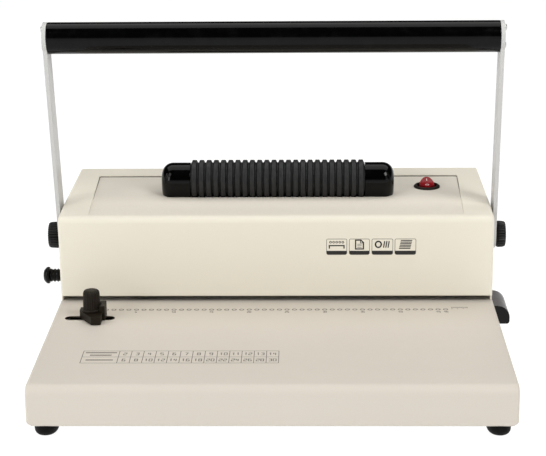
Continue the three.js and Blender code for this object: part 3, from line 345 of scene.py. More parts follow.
def ellipse(middle, radius_a, radius_b, sides):
    turns = [math.tau * k / sides for k in range(sides)]
    return [(middle[0] + radius_a * math.cos(turn), middle[1] + radius_b * math.sin(turn))
            for turn in turns]


def circle(middle, radius, sides):
    return ellipse(middle, radius, radius, sides)


def ridged(radius, ridges, depth, samples=6):
    """An outline with rounded ridges round a circle."""
    points = []
    count = ridges * samples
    for k in range(count):
        turn = math.tau * k / count
        wave = 0.5 - 0.5 * math.cos(ridges * turn)
        reach = radius - depth * wave ** 1.5
        points.append((reach * math.cos(turn), reach * math.sin(turn)))
    return points


def knob_rings(outline, reach, middle, steps):
    """Rings (outline, height) for a knob whose rims follow the (radius, height) steps."""
    return [([(middle[0] + a * radius / reach, middle[1] + b * radius / reach) for a, b in outline], height)
            for radius, height in steps]


def placed(axis, a, b, h):
    """A point of an outline in the plane across the axis, at height h along it."""
    return {"X": (h, a, b), "Y": (a, h, b), "Z": (a, b, h)}[axis]


# Meshes

def link_mesh(name, bm):
    bmesh.ops.recalc_face_normals(bm, faces=bm.faces)
    data = bpy.data.meshes.new(name)
    bm.to_mesh(data)
    bm.free()
    return link_object(name, data)


def discard(piece):
    data = piece.data
    bpy.data.objects.remove(piece)
    bpy.data.meshes.remove(data)


def applied(piece):
    """The piece with its modifiers made part of its mesh."""
    bpy.context.view_layer.update()
    graph = bpy.context.evaluated_depsgraph_get()
    data = bpy.data.meshes.new_from_object(piece.evaluated_get(graph))
    piece.modifiers.clear()
    old = piece.data
    piece.data = data
    data.name = piece.name
    bpy.data.meshes.remove(old)
    return piece


def boolean(piece, others, operation):
    for other in others:
        step = piece.modifiers.new(operation, "BOOLEAN")
        step.operation = operation
        step.object = other
        step.solver = "EXACT"
        applied(piece)
        discard(other)
    return piece


def carve(piece, *cutters):
    return boolean(piece, cutters, "DIFFERENCE")


def unite(piece, *others):
    return boolean(piece, others, "UNION")


def meet(piece, *others):
    return boolean(piece, others, "INTERSECT")


def soften(piece, width, segments=3, angle=38):
    """Rounds every edge sharper than the angle."""
    step = piece.modifiers.new("soften", "BEVEL")
    step.width = width * MM
    step.segments = segments
    step.limit_method = "ANGLE"
    step.angle_limit = math.radians(angle)
    step.use_clamp_overlap = True
    step.miter_outer = "MITER_ARC"
    return applied(piece)


def skin(bm, rows, looped=False, closed=True):
    """Faces between neighbouring rows of vertices. Rows that loop have no caps at their ends, and a row
    that isn't closed has no face from its last vertex to its first."""
    count = len(rows[0])
    for near, far in zip(rows, rows[1:] + rows[:1] if looped else rows[1:]):
        for i in range(count if closed else count - 1):
            j = (i + 1) % count
            bm.faces.new((near[i], near[j], far[j], far[i]))
    if not looped:
        bm.faces.new(rows[0])
        bm.faces.new(rows[-1])


def skinned(name, rings, looped=False, unit=MM):
    """A solid through rings of points, all with as many points."""
    bm = bmesh.new()
    skin(bm, [[bm.verts.new(Vector(point) * unit) for point in ring] for ring in rings], looped)
    return link_mesh(name, bm)


def loft(name, axis, rings, looped=False):
    """A solid through rings of (outline, height)."""
    return skinned(name, [[placed(axis, a, b, h) for a, b in outline] for outline, h in rings], looped)


def prism(name, axis, outline, low, high):
    return loft(name, axis, [(outline, low), (outline, high)])


def round_ended(name, outline_of, half, radius, steps=7):
    """A bar along X whose end edges are rounded; outline_of gives the outline for an inset."""
    rings = []
    for k in range(steps + 1):
        turn = math.radians(90 * k / steps)
        rings.append((outline_of(radius * (1 - math.cos(turn))), half - radius + radius * math.sin(turn)))
    return loft(name, "X", [(outline, -x) for outline, x in reversed(rings)] + rings)


def box(name, x0, x1, y0, y1, z0, z1):
    return prism(name, "Z", rectangle(x0, x1, y0, y1), z0, z1)


def rounded_box(name, x0, x1, y0, y1, z0, z1, radius, axis="Z", steps=6):
    """A box whose edges along the axis are rounded."""
    spans = {"Y": (x0, x1, z0, z1, y0, y1), "Z": (x0, x1, y0, y1, z0, z1)}
    *sides, low, high = spans[axis]
    return prism(name, axis, rectangle(*sides, [radius] * 4, steps), low, high)


def lathe(name, axis, middle, profile, sides=48):
    """A closed (radius, height) profile turned round the axis through middle, a pair across the axis."""
    bm = bmesh.new()
    rings = [[bm.verts.new(Vector(placed(axis, a, b, height)) * MM)
              for a, b in (circle(middle, radius, sides) if radius else [middle])]
             for radius, height in profile]
    for lower, upper in zip(rings, rings[1:] + rings[:1]):
        if len(lower) == len(upper) == 1:
            continue
        for k in range(sides):
            n = (k + 1) % sides
            corners = (lower[k % len(lower)], lower[n % len(lower)],
                       upper[n % len(upper)], upper[k % len(upper)])
            bm.faces.new(list(dict.fromkeys(corners)))
    return link_mesh(name, bm)


def rod(name, axis, middle, radius, low, high, sides=32):
    return lathe(name, axis, middle, [(0, low), (radius, low), (radius, high), (0, high)], sides)


def joined(name, *parts):
    """Several meshes as one object."""
    bm = bmesh.new()
    for part in parts:
        bm.from_mesh(part.data)
        discard(part)
    return link_mesh(name, bm)


def leaned(piece):
    """Turns a piece built upright about the lever's pivot into its rest pose."""
    piece.data.transform(Matrix.Translation(Vector((0, *SHAFT)) * MM) @ Matrix.Rotation(LEAN, 4, "X"))
    return piece


def dressed(piece, look, body, *nodes, angle=34, weighted=True):
    """Smooth shading, finish and place in the machine, instead of the CAD nodes."""
    data = piece.data
    data.materials.clear()
    data.materials.append(look)
    for face in data.polygons:
        face.use_smooth = True
        face.material_index = 0
    data.set_sharp_from_angle(angle=math.radians(angle))
    if weighted:
        step = piece.modifiers.new("normals", "WEIGHTED_NORMAL")
        step.keep_sharp = True
        step.weight = 50
    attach(piece, body)
    if nodes:
        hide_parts(*nodes)
    return piece


# Finishes

CREAM = (0.80, 0.757, 0.648, 1)
# painted light: the cream as it looks where the light falls strongly on the front of the housing top
LIT_CREAM = (0.88, 0.83, 0.72, 1)
COVER = powder_coat("cover_paint", CREAM)
# painted shade: the base wears the cover's cream paint, here darkened as painted shade for its table and
# front
SHADED_BASE_PAINT = powder_coat("shaded_base_paint", (0.640, 0.590, 0.520, 1), slot="cover_paint")
# painted light: a lit copy of the cover's cream for the housing's level top, brighter towards the front
LIT_TOP_PAINT = powder_coat("top_paint", CREAM, painted_light_color=LIT_CREAM)
# painted shade: a darker copy of the cover's cream for the recess floor, brightening towards the front as
# painted light
SHADED_RECESS_PAINT = powder_coat("shaded_recess_paint", (0.715, 0.667, 0.585, 1), painted_light_color=LIT_CREAM)
ARM = powder_coat("arm_paint", (0.54, 0.54, 0.53, 1), 0.4)
GRIP = moulded("grip_plastic", (0.0008, 0.0008, 0.001, 1), 0.1, 0.01, shine=0.16)
GLOSS = moulded("cap_plastic", (0.0008, 0.0008, 0.0008, 1), 0.04, 0.01, shine=0.17)
SATIN = moulded("knob_plastic", (0.003, 0.0028, 0.0025, 1), 0.38, 0.25, 900.0, 0.3)
PULL_BLACK = moulded("pull_plastic", (0.002, 0.002, 0.002, 1), 0.2, 0.03, shine=0.2, slot="grip_plastic")
# grained top of the drawer pull: the grain is real, its lighter grey is painted light
PULL_LIT_TOP = moulded("pull_lit_grain", (0.15, 0.143, 0.146, 1), 0.4, 1.0, 420.0)
MARGIN_BLACK = moulded("margin_plastic", (0.002, 0.0018, 0.0015, 1), 0.3, 0.3, 900.0, 0.14, "knob_plastic")
GUIDE_BLACK = moulded("guide_plastic", (0.011, 0.007, 0.003, 1), 0.5, 0.12, shine=0.2, slot="knob_plastic")
RED = moulded("rocker_plastic", (0.25, 0.006, 0.010, 1), 0.22, 0.03, shine=0.25)
RIB = rubber("roller_rubber", (0.009, 0.0092, 0.0095, 1))
FOOT_RUBBER = rubber("foot_rubber", (0.001, 0.0009, 0.0008, 1), shine=0.1)
STEEL = ground_steel("machined_steel", (0.52, 0.525, 0.53, 1))
ZINC = plated("zinc_plate", (0.62, 0.63, 0.62, 1))
MOTOR_CASE = ground_steel("motor_case", (0.46, 0.465, 0.47, 1), 0.38, (4.0, 180.0, 180.0))
BRONZE = ground_steel("bearing_brass", (0.60, 0.42, 0.19, 1), 0.34, (90.0, 90.0, 8.0))
GREY_INK = ink("grey_ink", (0.11, 0.10, 0.085, 1))
BROWN_INK = ink("brown_ink", (0.045, 0.035, 0.022, 1))
WHITE_INK = ink("white_ink", (0.72, 0.60, 0.58, 1), 0.4, "rocker_plastic")
# painted shade: the dark colour of the strip at the foot of the recess wall
RECESS_SHADE = ink("recess_gap_shade", (0.12, 0.108, 0.09, 1), 0.7)
BLACK_INK = ink("black_ink", (0.006, 0.005, 0.004, 1))


# Base

def slot_outline(inset):
    left, right, half = -174.5 + inset, -134.2 - inset, 4 - inset
    return rectangle(left, right, GUIDE[1] - half, GUIDE[1] + half, [half - 0.1] * 4, 8)


def slot_liner():
    """The black plastic lip round the edge guide's slot."""
    outer, inner = slot_outline(-0.7), slot_outline(0.3)
    low, top = TABLE_Z - 1.0, TABLE_Z + 0.04
    liner = loft("slot_liner", "Z", [(outer, low), (outer, top), (inner, top), (inner, low)], looped=True)
    return dressed(liner, GUIDE_BLACK, "machine")


def base_cover():
    front_hem, rear_hem, rear_bend, front_bend = 2.0, 1.1, 3.6, 8.5

    def outline_of(inset):
        return rectangle(inset - DEPTH_HALF, DEPTH_HALF - inset, FOOT, TABLE_Z - inset,
                         (front_hem, rear_hem, rear_bend - inset, front_bend - inset), 10)

    outer = round_ended("base_shell", outline_of, BASE_HALF, 2.4)
    hollow = rectangle(SHEET - DEPTH_HALF, DEPTH_HALF - SHEET, -10, TABLE_Z - SHEET,
                       (0, 0, 1.4, front_bend - SHEET), 8)
    half = BASE_HALF - SHEET
    corner = [(BASE_HALF + 2, FOOT - 2), (BASE_HALF + 2, FOOT + 4.4), (BASE_HALF - 8.6, FOOT - 2)]
    clips = []
    for side in SIDES:
        outline = [(side * x, z) for x, z in corner]
        clips.append(prism("clip", "Y", outline, -DEPTH_HALF - 2, -DEPTH_HALF + 12))
        clips.append(prism("clip", "Y", outline, DEPTH_HALF - 12, DEPTH_HALF + 2))
    frames = 174.1
    under, over = TABLE_Z - 4, TABLE_Z + 4
    carve(outer,
          prism("hollow", "X", hollow, -half, half),
          prism("slot", "Z", slot_outline(0), under, over),
          box("die_opening", -frames, frames, 43.7, DEPTH_HALF - 5, under, over),
          box("drawer_opening", BASE_HALF - 4, BASE_HALF + 4, 23.2, 80.8, 10.2, 35.3),
          *clips)
    return dressed(outer, SHADED_BASE_PAINT, "machine", "base_cover")


def foot(name, x, y):
    """A bowl with a hole for its screw, which leans outward at the bottom."""
    lean = math.copysign(1.3, x)
    sides = 40
    hole = [(2.2, FOOT), (2.2, 4.5), (3.4, 4.5), (3.4, 0.35)]
    bowl = [(3.6, 0.0), (5.2, 0.0), (6.6, 0.4), (7.8, 1.4), (8.7, 2.8), (9.2, 4.4), (9.4, 6.2), (9.4, 8.2),
            (9.4, FOOT)]
    rings = [(circle((x + lean * (1 - z / FOOT), y), radius, sides), z) for radius, z in hole + bowl]
    return dressed(loft(name, "Z", rings, looped=True), FOOT_RUBBER, "machine", name)


# Housing

def housing_outline(inset, low, rear):
    """The housing from its side: an upright front, a round bend and an almost level top."""
    hem_radius, crest_radius = 1.0, 14
    slope = (TOP_Z - BEND_Z) / (CREST_Y - HOUSING_FRONT)
    drop = inset * math.hypot(1, slope)
    front = HOUSING_FRONT + inset
    bend = BEND_Z + slope * inset - drop
    top = TOP_Z - inset
    crest = HOUSING_FRONT + (top - BEND_Z + drop) / slope
    return rounded([(front, low, max(hem_radius - inset, 0.05)), (rear, low), (rear, top),
                    (crest, top, crest_radius), (front, bend, BEND_RADIUS - inset)], 8)


def housing_form(name, inset, low, rear):
    half = HOUSING_HALF - inset
    return prism(name, "X", housing_outline(inset, low, rear), -half, half)


def recess_pan(name, grow):
    """The stamped recess: a rounded rectangle whose wall leans a little."""
    wall_lean = 0.45

    def outline(reach):
        half, rear, corner = RECESS_HALF + reach, RECESS_REAR + reach, RECESS_CORNER + reach
        return rounded([(RECESS_TAPER - half, RECESS_FRONT), (half - RECESS_TAPER, RECESS_FRONT),
                        (half, rear, corner), (-half, rear, corner)], 8)

    return loft(name, "Z", [(outline(grow - wall_lean), RECESS_Z - grow), (outline(grow), TOP_Z - grow),
                            (outline(grow), TOP_Z + 8)])


def recess_seam():
    """Painted shade: a thin dark strip at the foot of the recess wall, standing in for the shaded gap
    there, fading towards the front.
    """
    half, rear, front = RECESS_HALF + 0.1, RECESS_REAR + 0.1, RECESS_FADE
    depth, tall, low, corner = 0.7, 0.8, RECESS_Z - 0.05, RECESS_CORNER
    lean = RECESS_TAPER / (rear - RECESS_FRONT)
    path = [(lean * (rear - y) - half, y) for y in (front, 100, 125)]
    path += [(-half + corner - corner * math.cos(turn), rear - corner + corner * math.sin(turn))
             for turn in (0, 0.4, 0.8, 1.2, math.pi / 2)]
    path += [(-a, b) for a, b in reversed(path)]
    rings = []
    for i, (a, b) in enumerate(path):
        along = (Vector(path[min(i + 1, len(path) - 1)]) - Vector(path[max(i - 1, 0)])).normalized()
        inner = (a + along.y * depth, b - along.x * depth)
        high = RECESS_Z + tall * min(1, 0.15 + (b - front) / 70)
        rings.append([(a, b, low), (*inner, low), (*inner, high), (a, b, high)])
    return dressed(skinned("recess_seam", rings), RECESS_SHADE, "machine", weighted=False)


def housing_cover():
    beyond, under, over = 200, 111, 119
    roller_y = ROLLER[0]
    shell = round_ended("housing_shell", lambda inset: housing_outline(inset, THROAT_Z, DEPTH_HALF + 12),
                        HOUSING_HALF, 2.2)
    for side in SIDES:
        across = sorted((side * HOUSING_HALF, side * (HOUSING_HALF - SHEET)))
        unite(shell, box("skirt", *across, 23, 170.5, 41, 54))
    inside = housing_form("inside", SHEET, TABLE_Z - 4, DEPTH_HALF + 16)
    carve(inside, recess_pan("pan", SHEET))
    carve(shell, inside, recess_pan("pan", 0),
          box("rear", -beyond, beyond, DEPTH_HALF, DEPTH_HALF + 20, 30, 130),
          box("roller_slot", -77.7, 77.7, roller_y - 12.4, roller_y + 12.4, under, over),
          box("cap_slot", -96.7, 96.7, roller_y - 12, roller_y + 12, under, over),
          rod("switch_hole", "Z", SWITCH, 10.2, under, over),
          rod("shaft_hole", "X", SHAFT, 8.2, -beyond, beyond, 40),
          rod("margin_hole", "X", MARGIN, 3.3, -beyond, 0, 24))
    dressed(shell, COVER, "machine", "housing_cover")
    shell.data.materials.append(SHADED_RECESS_PAINT)
    shell.data.materials.append(LIT_TOP_PAINT)
    # painted light and shade: level top faces take the lit copy of the cover paint, and those on the recess
    # floor the shaded copy
    for face in shell.data.polygons:
        if face.normal.z > 0.9 and face.center.z > (RECESS_Z - 4) * MM:
            in_recess = face.center.z < (RECESS_Z + 0.2) * MM and face.center.y > 50 * MM
            face.material_index = 1 if in_recess else 2
    return shell


def rear_cover():
    x, z = INLET
    plate = housing_form("rear_plate", SHEET + 0.3, 41, REAR_Y)
    carve(plate,
          box("front", -200, 200, 0, REAR_Y - SHEET, 30, 130),
          rounded_box("window", x - 14.3, x + 14.3, REAR_Y - 6, REAR_Y + 6, z - 10.3, z + 10.3, 2, "Y"))
    lip_rear = REAR_Y - SHEET - 0.2
    lips = [box("lip", side * REAR_SCREW_X - 5, side * REAR_SCREW_X + 4.4, lip_rear - SHEET, lip_rear,
                50.7, 107.2) for side in SIDES]
    dressed(joined("rear_lips", *lips), COVER, "machine")
    return dressed(plate, COVER, "machine", "rear_cover")


def pan_screw(name, axis, middle, face, height, depth):
    """A pan-head screw; height is signed, away from the face, and depth runs the other way."""
    radius, shank = 3.0, 1.5
    slot_half, slot_width = 1.7, 0.42
    sign, tall = math.copysign(1, height), abs(height)
    dome = ((0.97, 0), (1, 0.25), (0.97, 0.5), (0.84, 0.78), (0.6, 0.93), (0.3, 0.99), (0, 1))
    profile = [(0, -depth), (shank, -depth), (shank, 0)] + [(radius * r, tall * h) for r, h in dome]
    screw = lathe(name, axis, middle, [(r, face + sign * h) for r, h in profile], 28)
    a, b = middle
    crown = face + height
    low, high = sorted((crown + sign * 0.5, crown - height * 0.55))
    cutters = [prism("drive", axis, rectangle(a - u, a + u, b - v, b + v), low, high)
               for u, v in ((slot_half, slot_width), (slot_width, slot_half))]
    return carve(screw, *cutters)


def rear_screws():
    screws = []
    for side in SIDES:
        for share in (1, 4):
            z = THROAT_Z + (TOP_Z - THROAT_Z) * share / 5
            screws.append(pan_screw("screw", "Y", (side * REAR_SCREW_X, z), REAR_Y, 0.9, 3.2))
    return dressed(joined("rear_screws", *screws), ZINC, "machine")


def power_inlet():
    x, z = INLET
    body = rounded_box("inlet", x - 14, x + 14, REAR_Y - 18, REAR_Y + 0.5, z - 10, z + 10, 1.5, "Y")
    unite(body, rounded_box("flange", x - 16.5, x + 16.5, REAR_Y, DEPTH_HALF, z - 12.5, z + 12.5, 3, "Y"))
    well = rectangle(x - 12, x + 12, z - 8, z + 8, (1, 1, 4, 4))
    carve(body, prism("well", "Y", well, REAR_Y - 16, DEPTH_HALF + 4))
    dressed(body, SATIN, "machine", "power_inlet", angle=30)
    pins = []
    for a, b in ((x - 7, z - 3), (x + 7, z - 3), (x, z + 3)):
        pin = rounded_box("pin", a - 1, a + 1, REAR_Y - 17, REAR_Y - 6, b - 2, b + 2, 0.4, "Y", 3)
        pins.append(soften(pin, 0.3, 2, 60))
    return dressed(joined("inlet_pins", *pins), ZINC, "machine")


# Press lever

def arm(side):
    name = sided("arm", side)
    drop = math.sqrt(GRIP_RADIUS ** 2 - ARM_NECK ** 2)
    neck = math.degrees(math.atan2(-drop, ARM_NECK))
    outline = arc((0, 0), ARM_PIVOT_RADIUS, 180, 360, 24)
    outline += arc((0, LEVER_LENGTH), GRIP_RADIUS, neck, 180 - neck, 32)
    x = LEVER_SHIFT + (ARM_INNER if side > 0 else -ARM_INNER - ARM_THICK)
    plate = prism(name, "X", outline, x, x + ARM_THICK)
    holes = [rod("hole", "X", (0, LEVER_LENGTH + end * SCREW_REACH), 1.8, x - 4, x + 8, 16)
             for end in SIDES]
    carve(plate, rod("bore", "X", (0, 0), 5.3, x - 4, x + 8), *holes)
    soften(plate, 0.55, 3, 50)
    if side < 0:
        for vertex in plate.data.vertices:
            vertex.co.x += (ARM_DRIFT - ARM_SPREAD * vertex.co.z / (LEVER_LENGTH * MM)) * MM
    return dressed(leaned(plate), ARM, "press_lever", name)


def grip_tube():
    high = ARM_INNER - 0.2
    low = -high - ARM_SPREAD + ARM_DRIFT
    wall, rim, edge = 3.6, 0.5, 0.15
    depths = [(wall, low), (rim, low), (edge, low + edge), (0, low + rim),
              (0, high - rim), (edge, high - edge), (rim, high), (wall, high)]
    profile = [(GRIP_RADIUS - depth, x + LEVER_SHIFT) for depth, x in depths]
    tube = lathe("grip_tube", "X", (0, LEVER_LENGTH), profile, 72)
    return dressed(leaned(tube), GRIP, "press_lever", "grip_tube")


def grip_screws():
    for side in SIDES:
        bent = ARM_DRIFT - ARM_SPREAD if side < 0 else 0
        face = side * (ARM_INNER + ARM_THICK - bent) + LEVER_SHIFT
        for place, reach in (("upper", SCREW_REACH), ("lower", -SCREW_REACH)):
            name = sided("grip_screw", side) + "_" + place
            screw = pan_screw(name, "X", (0, LEVER_LENGTH + reach), face, side * 2.2, 11)
            dressed(leaned(screw), ZINC, "press_lever", name)


def hand_knob(side):
    name = sided("hand_knob", side)
    reach = 11.5
    face = KNOB_FACE if side > 0 else KNOB_FACE - 1.2
    end = KNOB_FACE + (7.7 if side > 0 else 7.9)
    steps = [(10.6, face), (11.1, face + 0.3), (11.4, face + 0.9), (11.5, face + 2.0), (11.3, end - 2.6),
             (11.0, end - 1.2), (10.6, end - 0.45), (10.1, end - 0.1), (9.4, end), (3.2, end + 0.1),
             (0.8, end + 0.1)]
    rings = knob_rings(ridged(reach, 30, 0.9), reach, SHAFT, [(r, side * h) for r, h in steps])
    knob = loft(name, "X", rings)
    carve(knob, rod("bore", "X", SHAFT, 5.25, *sorted((side * (face - 2), side * (face + 4.6))), 24))
    return dressed(knob, SATIN, sided("knob", side), name, angle=48)


def shaft_collar(side):
    name = sided("shaft_collar", side)
    bore, outer, chamfer = 5.3, 7.6, 0.4
    inner_end, outer_end = 177.3, 186.4 if side > 0 else 185.2
    profile = [(bore, inner_end), (outer - chamfer, inner_end), (outer, inner_end + chamfer),
               (outer, outer_end - chamfer), (outer - chamfer, outer_end), (bore, outer_end)]
    ring = lathe(name, "X", SHAFT, [(r, side * h) for r, h in profile], 40)
    return dressed(ring, ZINC, "press_lever", name)


# Return springs

def return_spring(name, turns=5, steps=150, sides=8):
    """A coil spring in the CAD spring's box, made at rest and fixed to the machine; in the real machine the
    punch bar presses it together. Sizes in metres.
    """
    wire = 0.7 * MM
    low, high = (Vector(corner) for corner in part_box(name))
    middle = (low + high) / 2
    reach = (high.x - low.x) / 2 - wire
    climb = high.z - low.z - 2 * wire
    section = circle((0, 0), wire, sides)
    rings = []
    for k in range(steps + 1):
        turn = math.tau * turns * k / steps
        out = Vector((math.cos(turn), math.sin(turn), 0))
        centre = Vector((middle.x, middle.y, low.z + wire + climb * k / steps)) + out * reach
        rings.append([centre + out * a + Vector((0, 0, b)) for a, b in section])
    spring = dressed(skinned(name, rings, unit=1), STEEL, "machine", name)
    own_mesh(spring)
    return spring


# Coil inserter

def coil_roller():
    ribs, bore, core, rim = 24, 4.3, 13.2, 0.1
    half = ribs / 2 * PITCH
    flank = [(14.9, 3.0), (15.1, 2.62), (16.85, 1.95), (17.13, 1.7), (ROLLER_CREST, 1.3)]
    profile = [(bore, -half), (bore, -half - rim), (core, -half - rim)]
    for i in range(ribs):
        middle = -half + (i + 0.5) * PITCH
        profile += [(radius, middle - reach) for radius, reach in flank]
        profile += [(radius, middle + reach) for radius, reach in reversed(flank)]
    profile += [(core, half + rim), (bore, half + rim)]
    roller = lathe("coil_roller", "X", ROLLER, [(r, x + ROLLER_SHIFT) for r, x in profile], 72)
    return dressed(roller, RIB, "roller", "coil_roller", angle=50)


def cap_outline(radius, steps=64):
    """Round above the axis and drawn out below it."""
    below = radius + 6
    points = []
    for k in range(steps):
        turn = math.tau * k / steps
        tall = radius if math.sin(turn) > 0 else below
        points.append((ROLLER[0] + radius * math.cos(turn), ROLLER[1] + tall * math.sin(turn)))
    return points


def roller_cap(side):
    name = sided("roller_cap", side)
    radius, corner, steps = 15, 10, 14
    rings = [(cap_outline(radius - 0.4), CAP_INNER), (cap_outline(radius - 0.12), CAP_INNER + 0.12),
             (cap_outline(radius), CAP_INNER + 0.5)]
    for k in range(steps + 1):
        turn = math.radians(90 * k / steps)
        inset, back = corner * (1 - math.cos(turn)), corner * (1 - math.sin(turn))
        rings.append((cap_outline(radius - inset), CAP_END - back))
    cap = loft(name, "X", [(outline, side * x + ROLLER_SHIFT) for outline, x in rings])
    carve(cap, rod("bore", "X", ROLLER, 4.6, *sorted((side * 70, side * 88)), 28),
          box("floor", -120, 120, 60, 130, 90, RECESS_Z))
    return dressed(cap, GLOSS, "machine", name, angle=40)


# Rocker switch

def switch_body():
    z = RECESS_Z
    body, bore = 9.9, 8.8
    profile = [(0, z - 16), (body, z - 16), (body, z), (11.5, z), (11.7, z + 0.3), (11.6, z + 0.9),
               (11.2, z + 1.5), (10.6, z + 1.88), (9.9, z + 2), (9.2, z + 1.85), (bore, z + 1.4),
               (bore, z - 8), (0, z - 8)]
    ring = lathe("switch_body", "Z", SWITCH, profile, 56)
    return dressed(ring, GUIDE_BLACK, "machine", "switch_body", angle=50)


def rocker():
    """The rocker in its own frame, rear half up and narrower upward, turned into its rest pose."""
    radius, half, narrowing_per_metre = 8.0, 9, 75
    top = [(8.4, 5.0), (7.0, 4.95), (4.0, 3.75), (0.0, 2.9), (-4.0, 3.1), (-7.2, 3.5), (-8.4, 3.5)]
    profile = rounded([(-5, -4.5, 0.5), (5, -4.5, 0.5), (8.4, -1)] + top + [(-8.4, -1)], 4)
    wedge = prism("switch_rocker", "X", profile, -half, half)
    meet(wedge, rod("disc", "Z", (0, 0), radius, -half, half, 56))
    for point in wedge.data.vertices:
        point.co.x *= 1 - narrowing_per_metre * max(point.co.z, 0)
    soften(wedge, 1.3, 5, 50)
    turn = Matrix.Rotation(math.radians(11), 4, "X")
    place = Matrix.Translation(Vector((*SWITCH, RECESS_Z + 1)) * MM) @ turn
    wedge.data.transform(place)
    dressed(wedge, RED, "rocker", "switch_rocker", angle=40)
    bar = box("on_mark", -0.3, 0.3, 3.0, 5.6, 2.0, 6.0)
    ring = lathe("off_mark", "Z", (0, -4.3), [(1.15, 2.0), (1.75, 2.0), (1.75, 6.0), (1.15, 6.0)], 28)
    marks = joined("rocker_marks", bar, ring)
    skin_outline = [(y, z + INK_LIFT) for y, z in top] + [(y, z - 0.2) for y, z in reversed(top)]
    meet(marks, prism("skin", "X", skin_outline, -8, 8))
    marks.data.transform(place)
    return dressed(marks, WHITE_INK, "rocker", weighted=False)


# Edge guide

def guide_block():
    x, y = GUIDE
    low, high = TABLE_Z + 0.3, TABLE_Z + 6.9
    left, right, rear, nose = x - 10.3, x + 9, y + 8, y - 18
    plan = rounded([(right, rear, 0.8), (right, nose + 1.2, 0.6), (right - 1.2, nose, 0.6),
                    (right - 7.7, nose, 0.8), (left, y, 0.8), (left, rear, 0.8)], 4)
    block = prism("guide_block", "Z", plan, low, high)
    stop = rectangle(right - 2.6, right + 2.4, rear - 14, rear, [0.7] * 4, 4)
    unite(block, prism("stop", "Z", stop, low, low + 12.3))
    soften(block, 0.7, 4, 60)
    unite(block, box("tongue", x - 6, x + 6, y - 3.2, y + 3.2, TABLE_Z - 1.2, low + 1))
    seat = rod("seat", "Z", GUIDE, 8.5, high - 0.02, 70, 48)
    carve(block, rod("bore", "Z", GUIDE, 2.7, 30, 60, 24), seat)
    return dressed(block, GUIDE_BLACK, "guide", "guide_block", angle=40)


def clamp_knob():
    z = TABLE_Z + 7.2
    reach = 7.3
    steps = [(7.2, z + 1.2), (7.3, z + 2.4), (7.0, z + 12.3), (6.95, z + 14.4), (6.75, z + 15.6),
             (6.3, z + 16.7), (5.5, z + 17.4), (4.2, z + 17.75), (2.0, z + 17.8), (0.6, z + 17.8)]
    grip = loft("clamp_knob", "Z", knob_rings(ridged(reach, 22, 0.55), reach, GUIDE, steps))
    collar = [(0, z), (8.0, z), (8.2, z + 0.25), (8.2, z + 1.5), (7.9, z + 2.0), (7.2, z + 2.2),
              (0, z + 2.2)]
    unite(grip, lathe("collar", "Z", GUIDE, collar, 56))
    dressed(grip, GUIDE_BLACK, "guide_knob", "clamp_knob", angle=48)
    return dressed(rod("clamp_screw", "Z", GUIDE, 2.4, 32.4, z + 0.4, 24), ZINC, "guide_knob")


# Margin knob

def snail_outline(steps=72):
    """A cam that rises evenly over half a turn and falls back smoothly over the other half."""
    base, rise, swing = 5.0, 4.0, math.pi
    lead, high, span = rise / swing, base + rise, math.tau - swing
    points = []
    for k in range(steps):
        turn = math.tau * k / steps
        lift, slope = base + lead * turn, lead
        if turn > swing:
            t = (turn - swing) / span
            fallen = 3 * t ** 2 - 2 * t ** 3
            lift = high * (1 - fallen) + base * fallen + lead * span * (t ** 3 - 2 * t ** 2 + t)
            slope = (high - base) * (6 * t ** 2 - 6 * t) / span + lead * (3 * t ** 2 - 4 * t + 1)
        points.append((MARGIN[0] + lift * math.cos(turn) - slope * math.sin(turn),
                       MARGIN[1] - lift * math.sin(turn) - slope * math.cos(turn)))
    return points


def margin_knob():
    root = HOUSING_HALF + 0.3
    profile = [(0, root - 1.2), (3, root - 1.2), (3, root), (4.9, root)]
    for ridge in range(4):
        x = root + ridge * 2.9
        profile += [(4.95, x + 0.25), (5.55, x + 1.0), (5.75, x + 1.45), (5.55, x + 1.9), (4.95, x + 2.65)]
    profile += [(4.9, 195.3), (6.9, 195.9), (7.2, 196.3), (7.3, 196.9), (7.25, 197.8), (6.9, 198.6),
                (5.2, 200.2), (4.4, 200.75), (3.4, 201), (0, 201)]
    knob = lathe("margin_knob", "X", MARGIN, [(r, -x) for r, x in profile])
    dressed(knob, MARGIN_BLACK, "margin", "margin_knob", angle=50)
    shaft = rod("margin_rod", "X", MARGIN, 3, -root, -166.2, 24)
    snail = prism("snail", "X", snail_outline(), -167.7, -164.7)
    return dressed(joined("margin_snail", shaft, snail), STEEL, "margin")


# Drawer

def drawer_pull():
    left, right, low, top = 185.3, 201.0, 15.6, 32.2
    pull = prism("drawer_pull", "Y", rectangle(left, right, low, top, (0.4, 2.5, 11, 0.4), 10), 31, 72.5)
    soften(pull, 1.3, 5, 60)
    carve(pull, rounded_box("pocket", left + 1.8, right - 3.6, 32.8, 70, 8, top - 11, 1.5))
    dressed(pull, PULL_BLACK, "drawer", "drawer_pull", angle=40)
    pull.data.materials.append(PULL_LIT_TOP)
    # the pull's upward faces take the grained finish; its grain is real and its lighter grey is painted
    # light
    for face in pull.data.polygons:
        if face.normal.z > 0.6 and face.center.z > (top - 4) * MM:
            face.material_index = 1
    return pull


# Printed marks

DIGITS = {
    "0": [[(0, 0), (1, 0), (1, 2), (0, 2), (0, 0)]],
    "1": [[(0.15, 1.6), (0.55, 2), (0.55, 0)]],
    "2": [[(0, 2), (1, 2), (1, 1), (0, 1), (0, 0), (1, 0)]],
    "3": [[(0, 2), (1, 2), (1, 0), (0, 0)], [(0.3, 1), (1, 1)]],
    "4": [[(0.1, 2), (0, 0.9), (1, 0.9)], [(0.75, 2), (0.75, 0)]],
    "5": [[(1, 2), (0, 2), (0, 1), (1, 1), (1, 0), (0, 0)]],
    "6": [[(1, 2), (0, 2), (0, 0), (1, 0), (1, 1), (0, 1)]],
    "7": [[(0, 2), (1, 2), (0.4, 0)]],
    "8": [[(0, 0), (1, 0), (1, 2), (0, 2), (0, 0)], [(0, 1), (1, 1)]],
    "9": [[(1, 1), (0, 1), (0, 2), (1, 2), (1, 0), (0, 0)]],
}


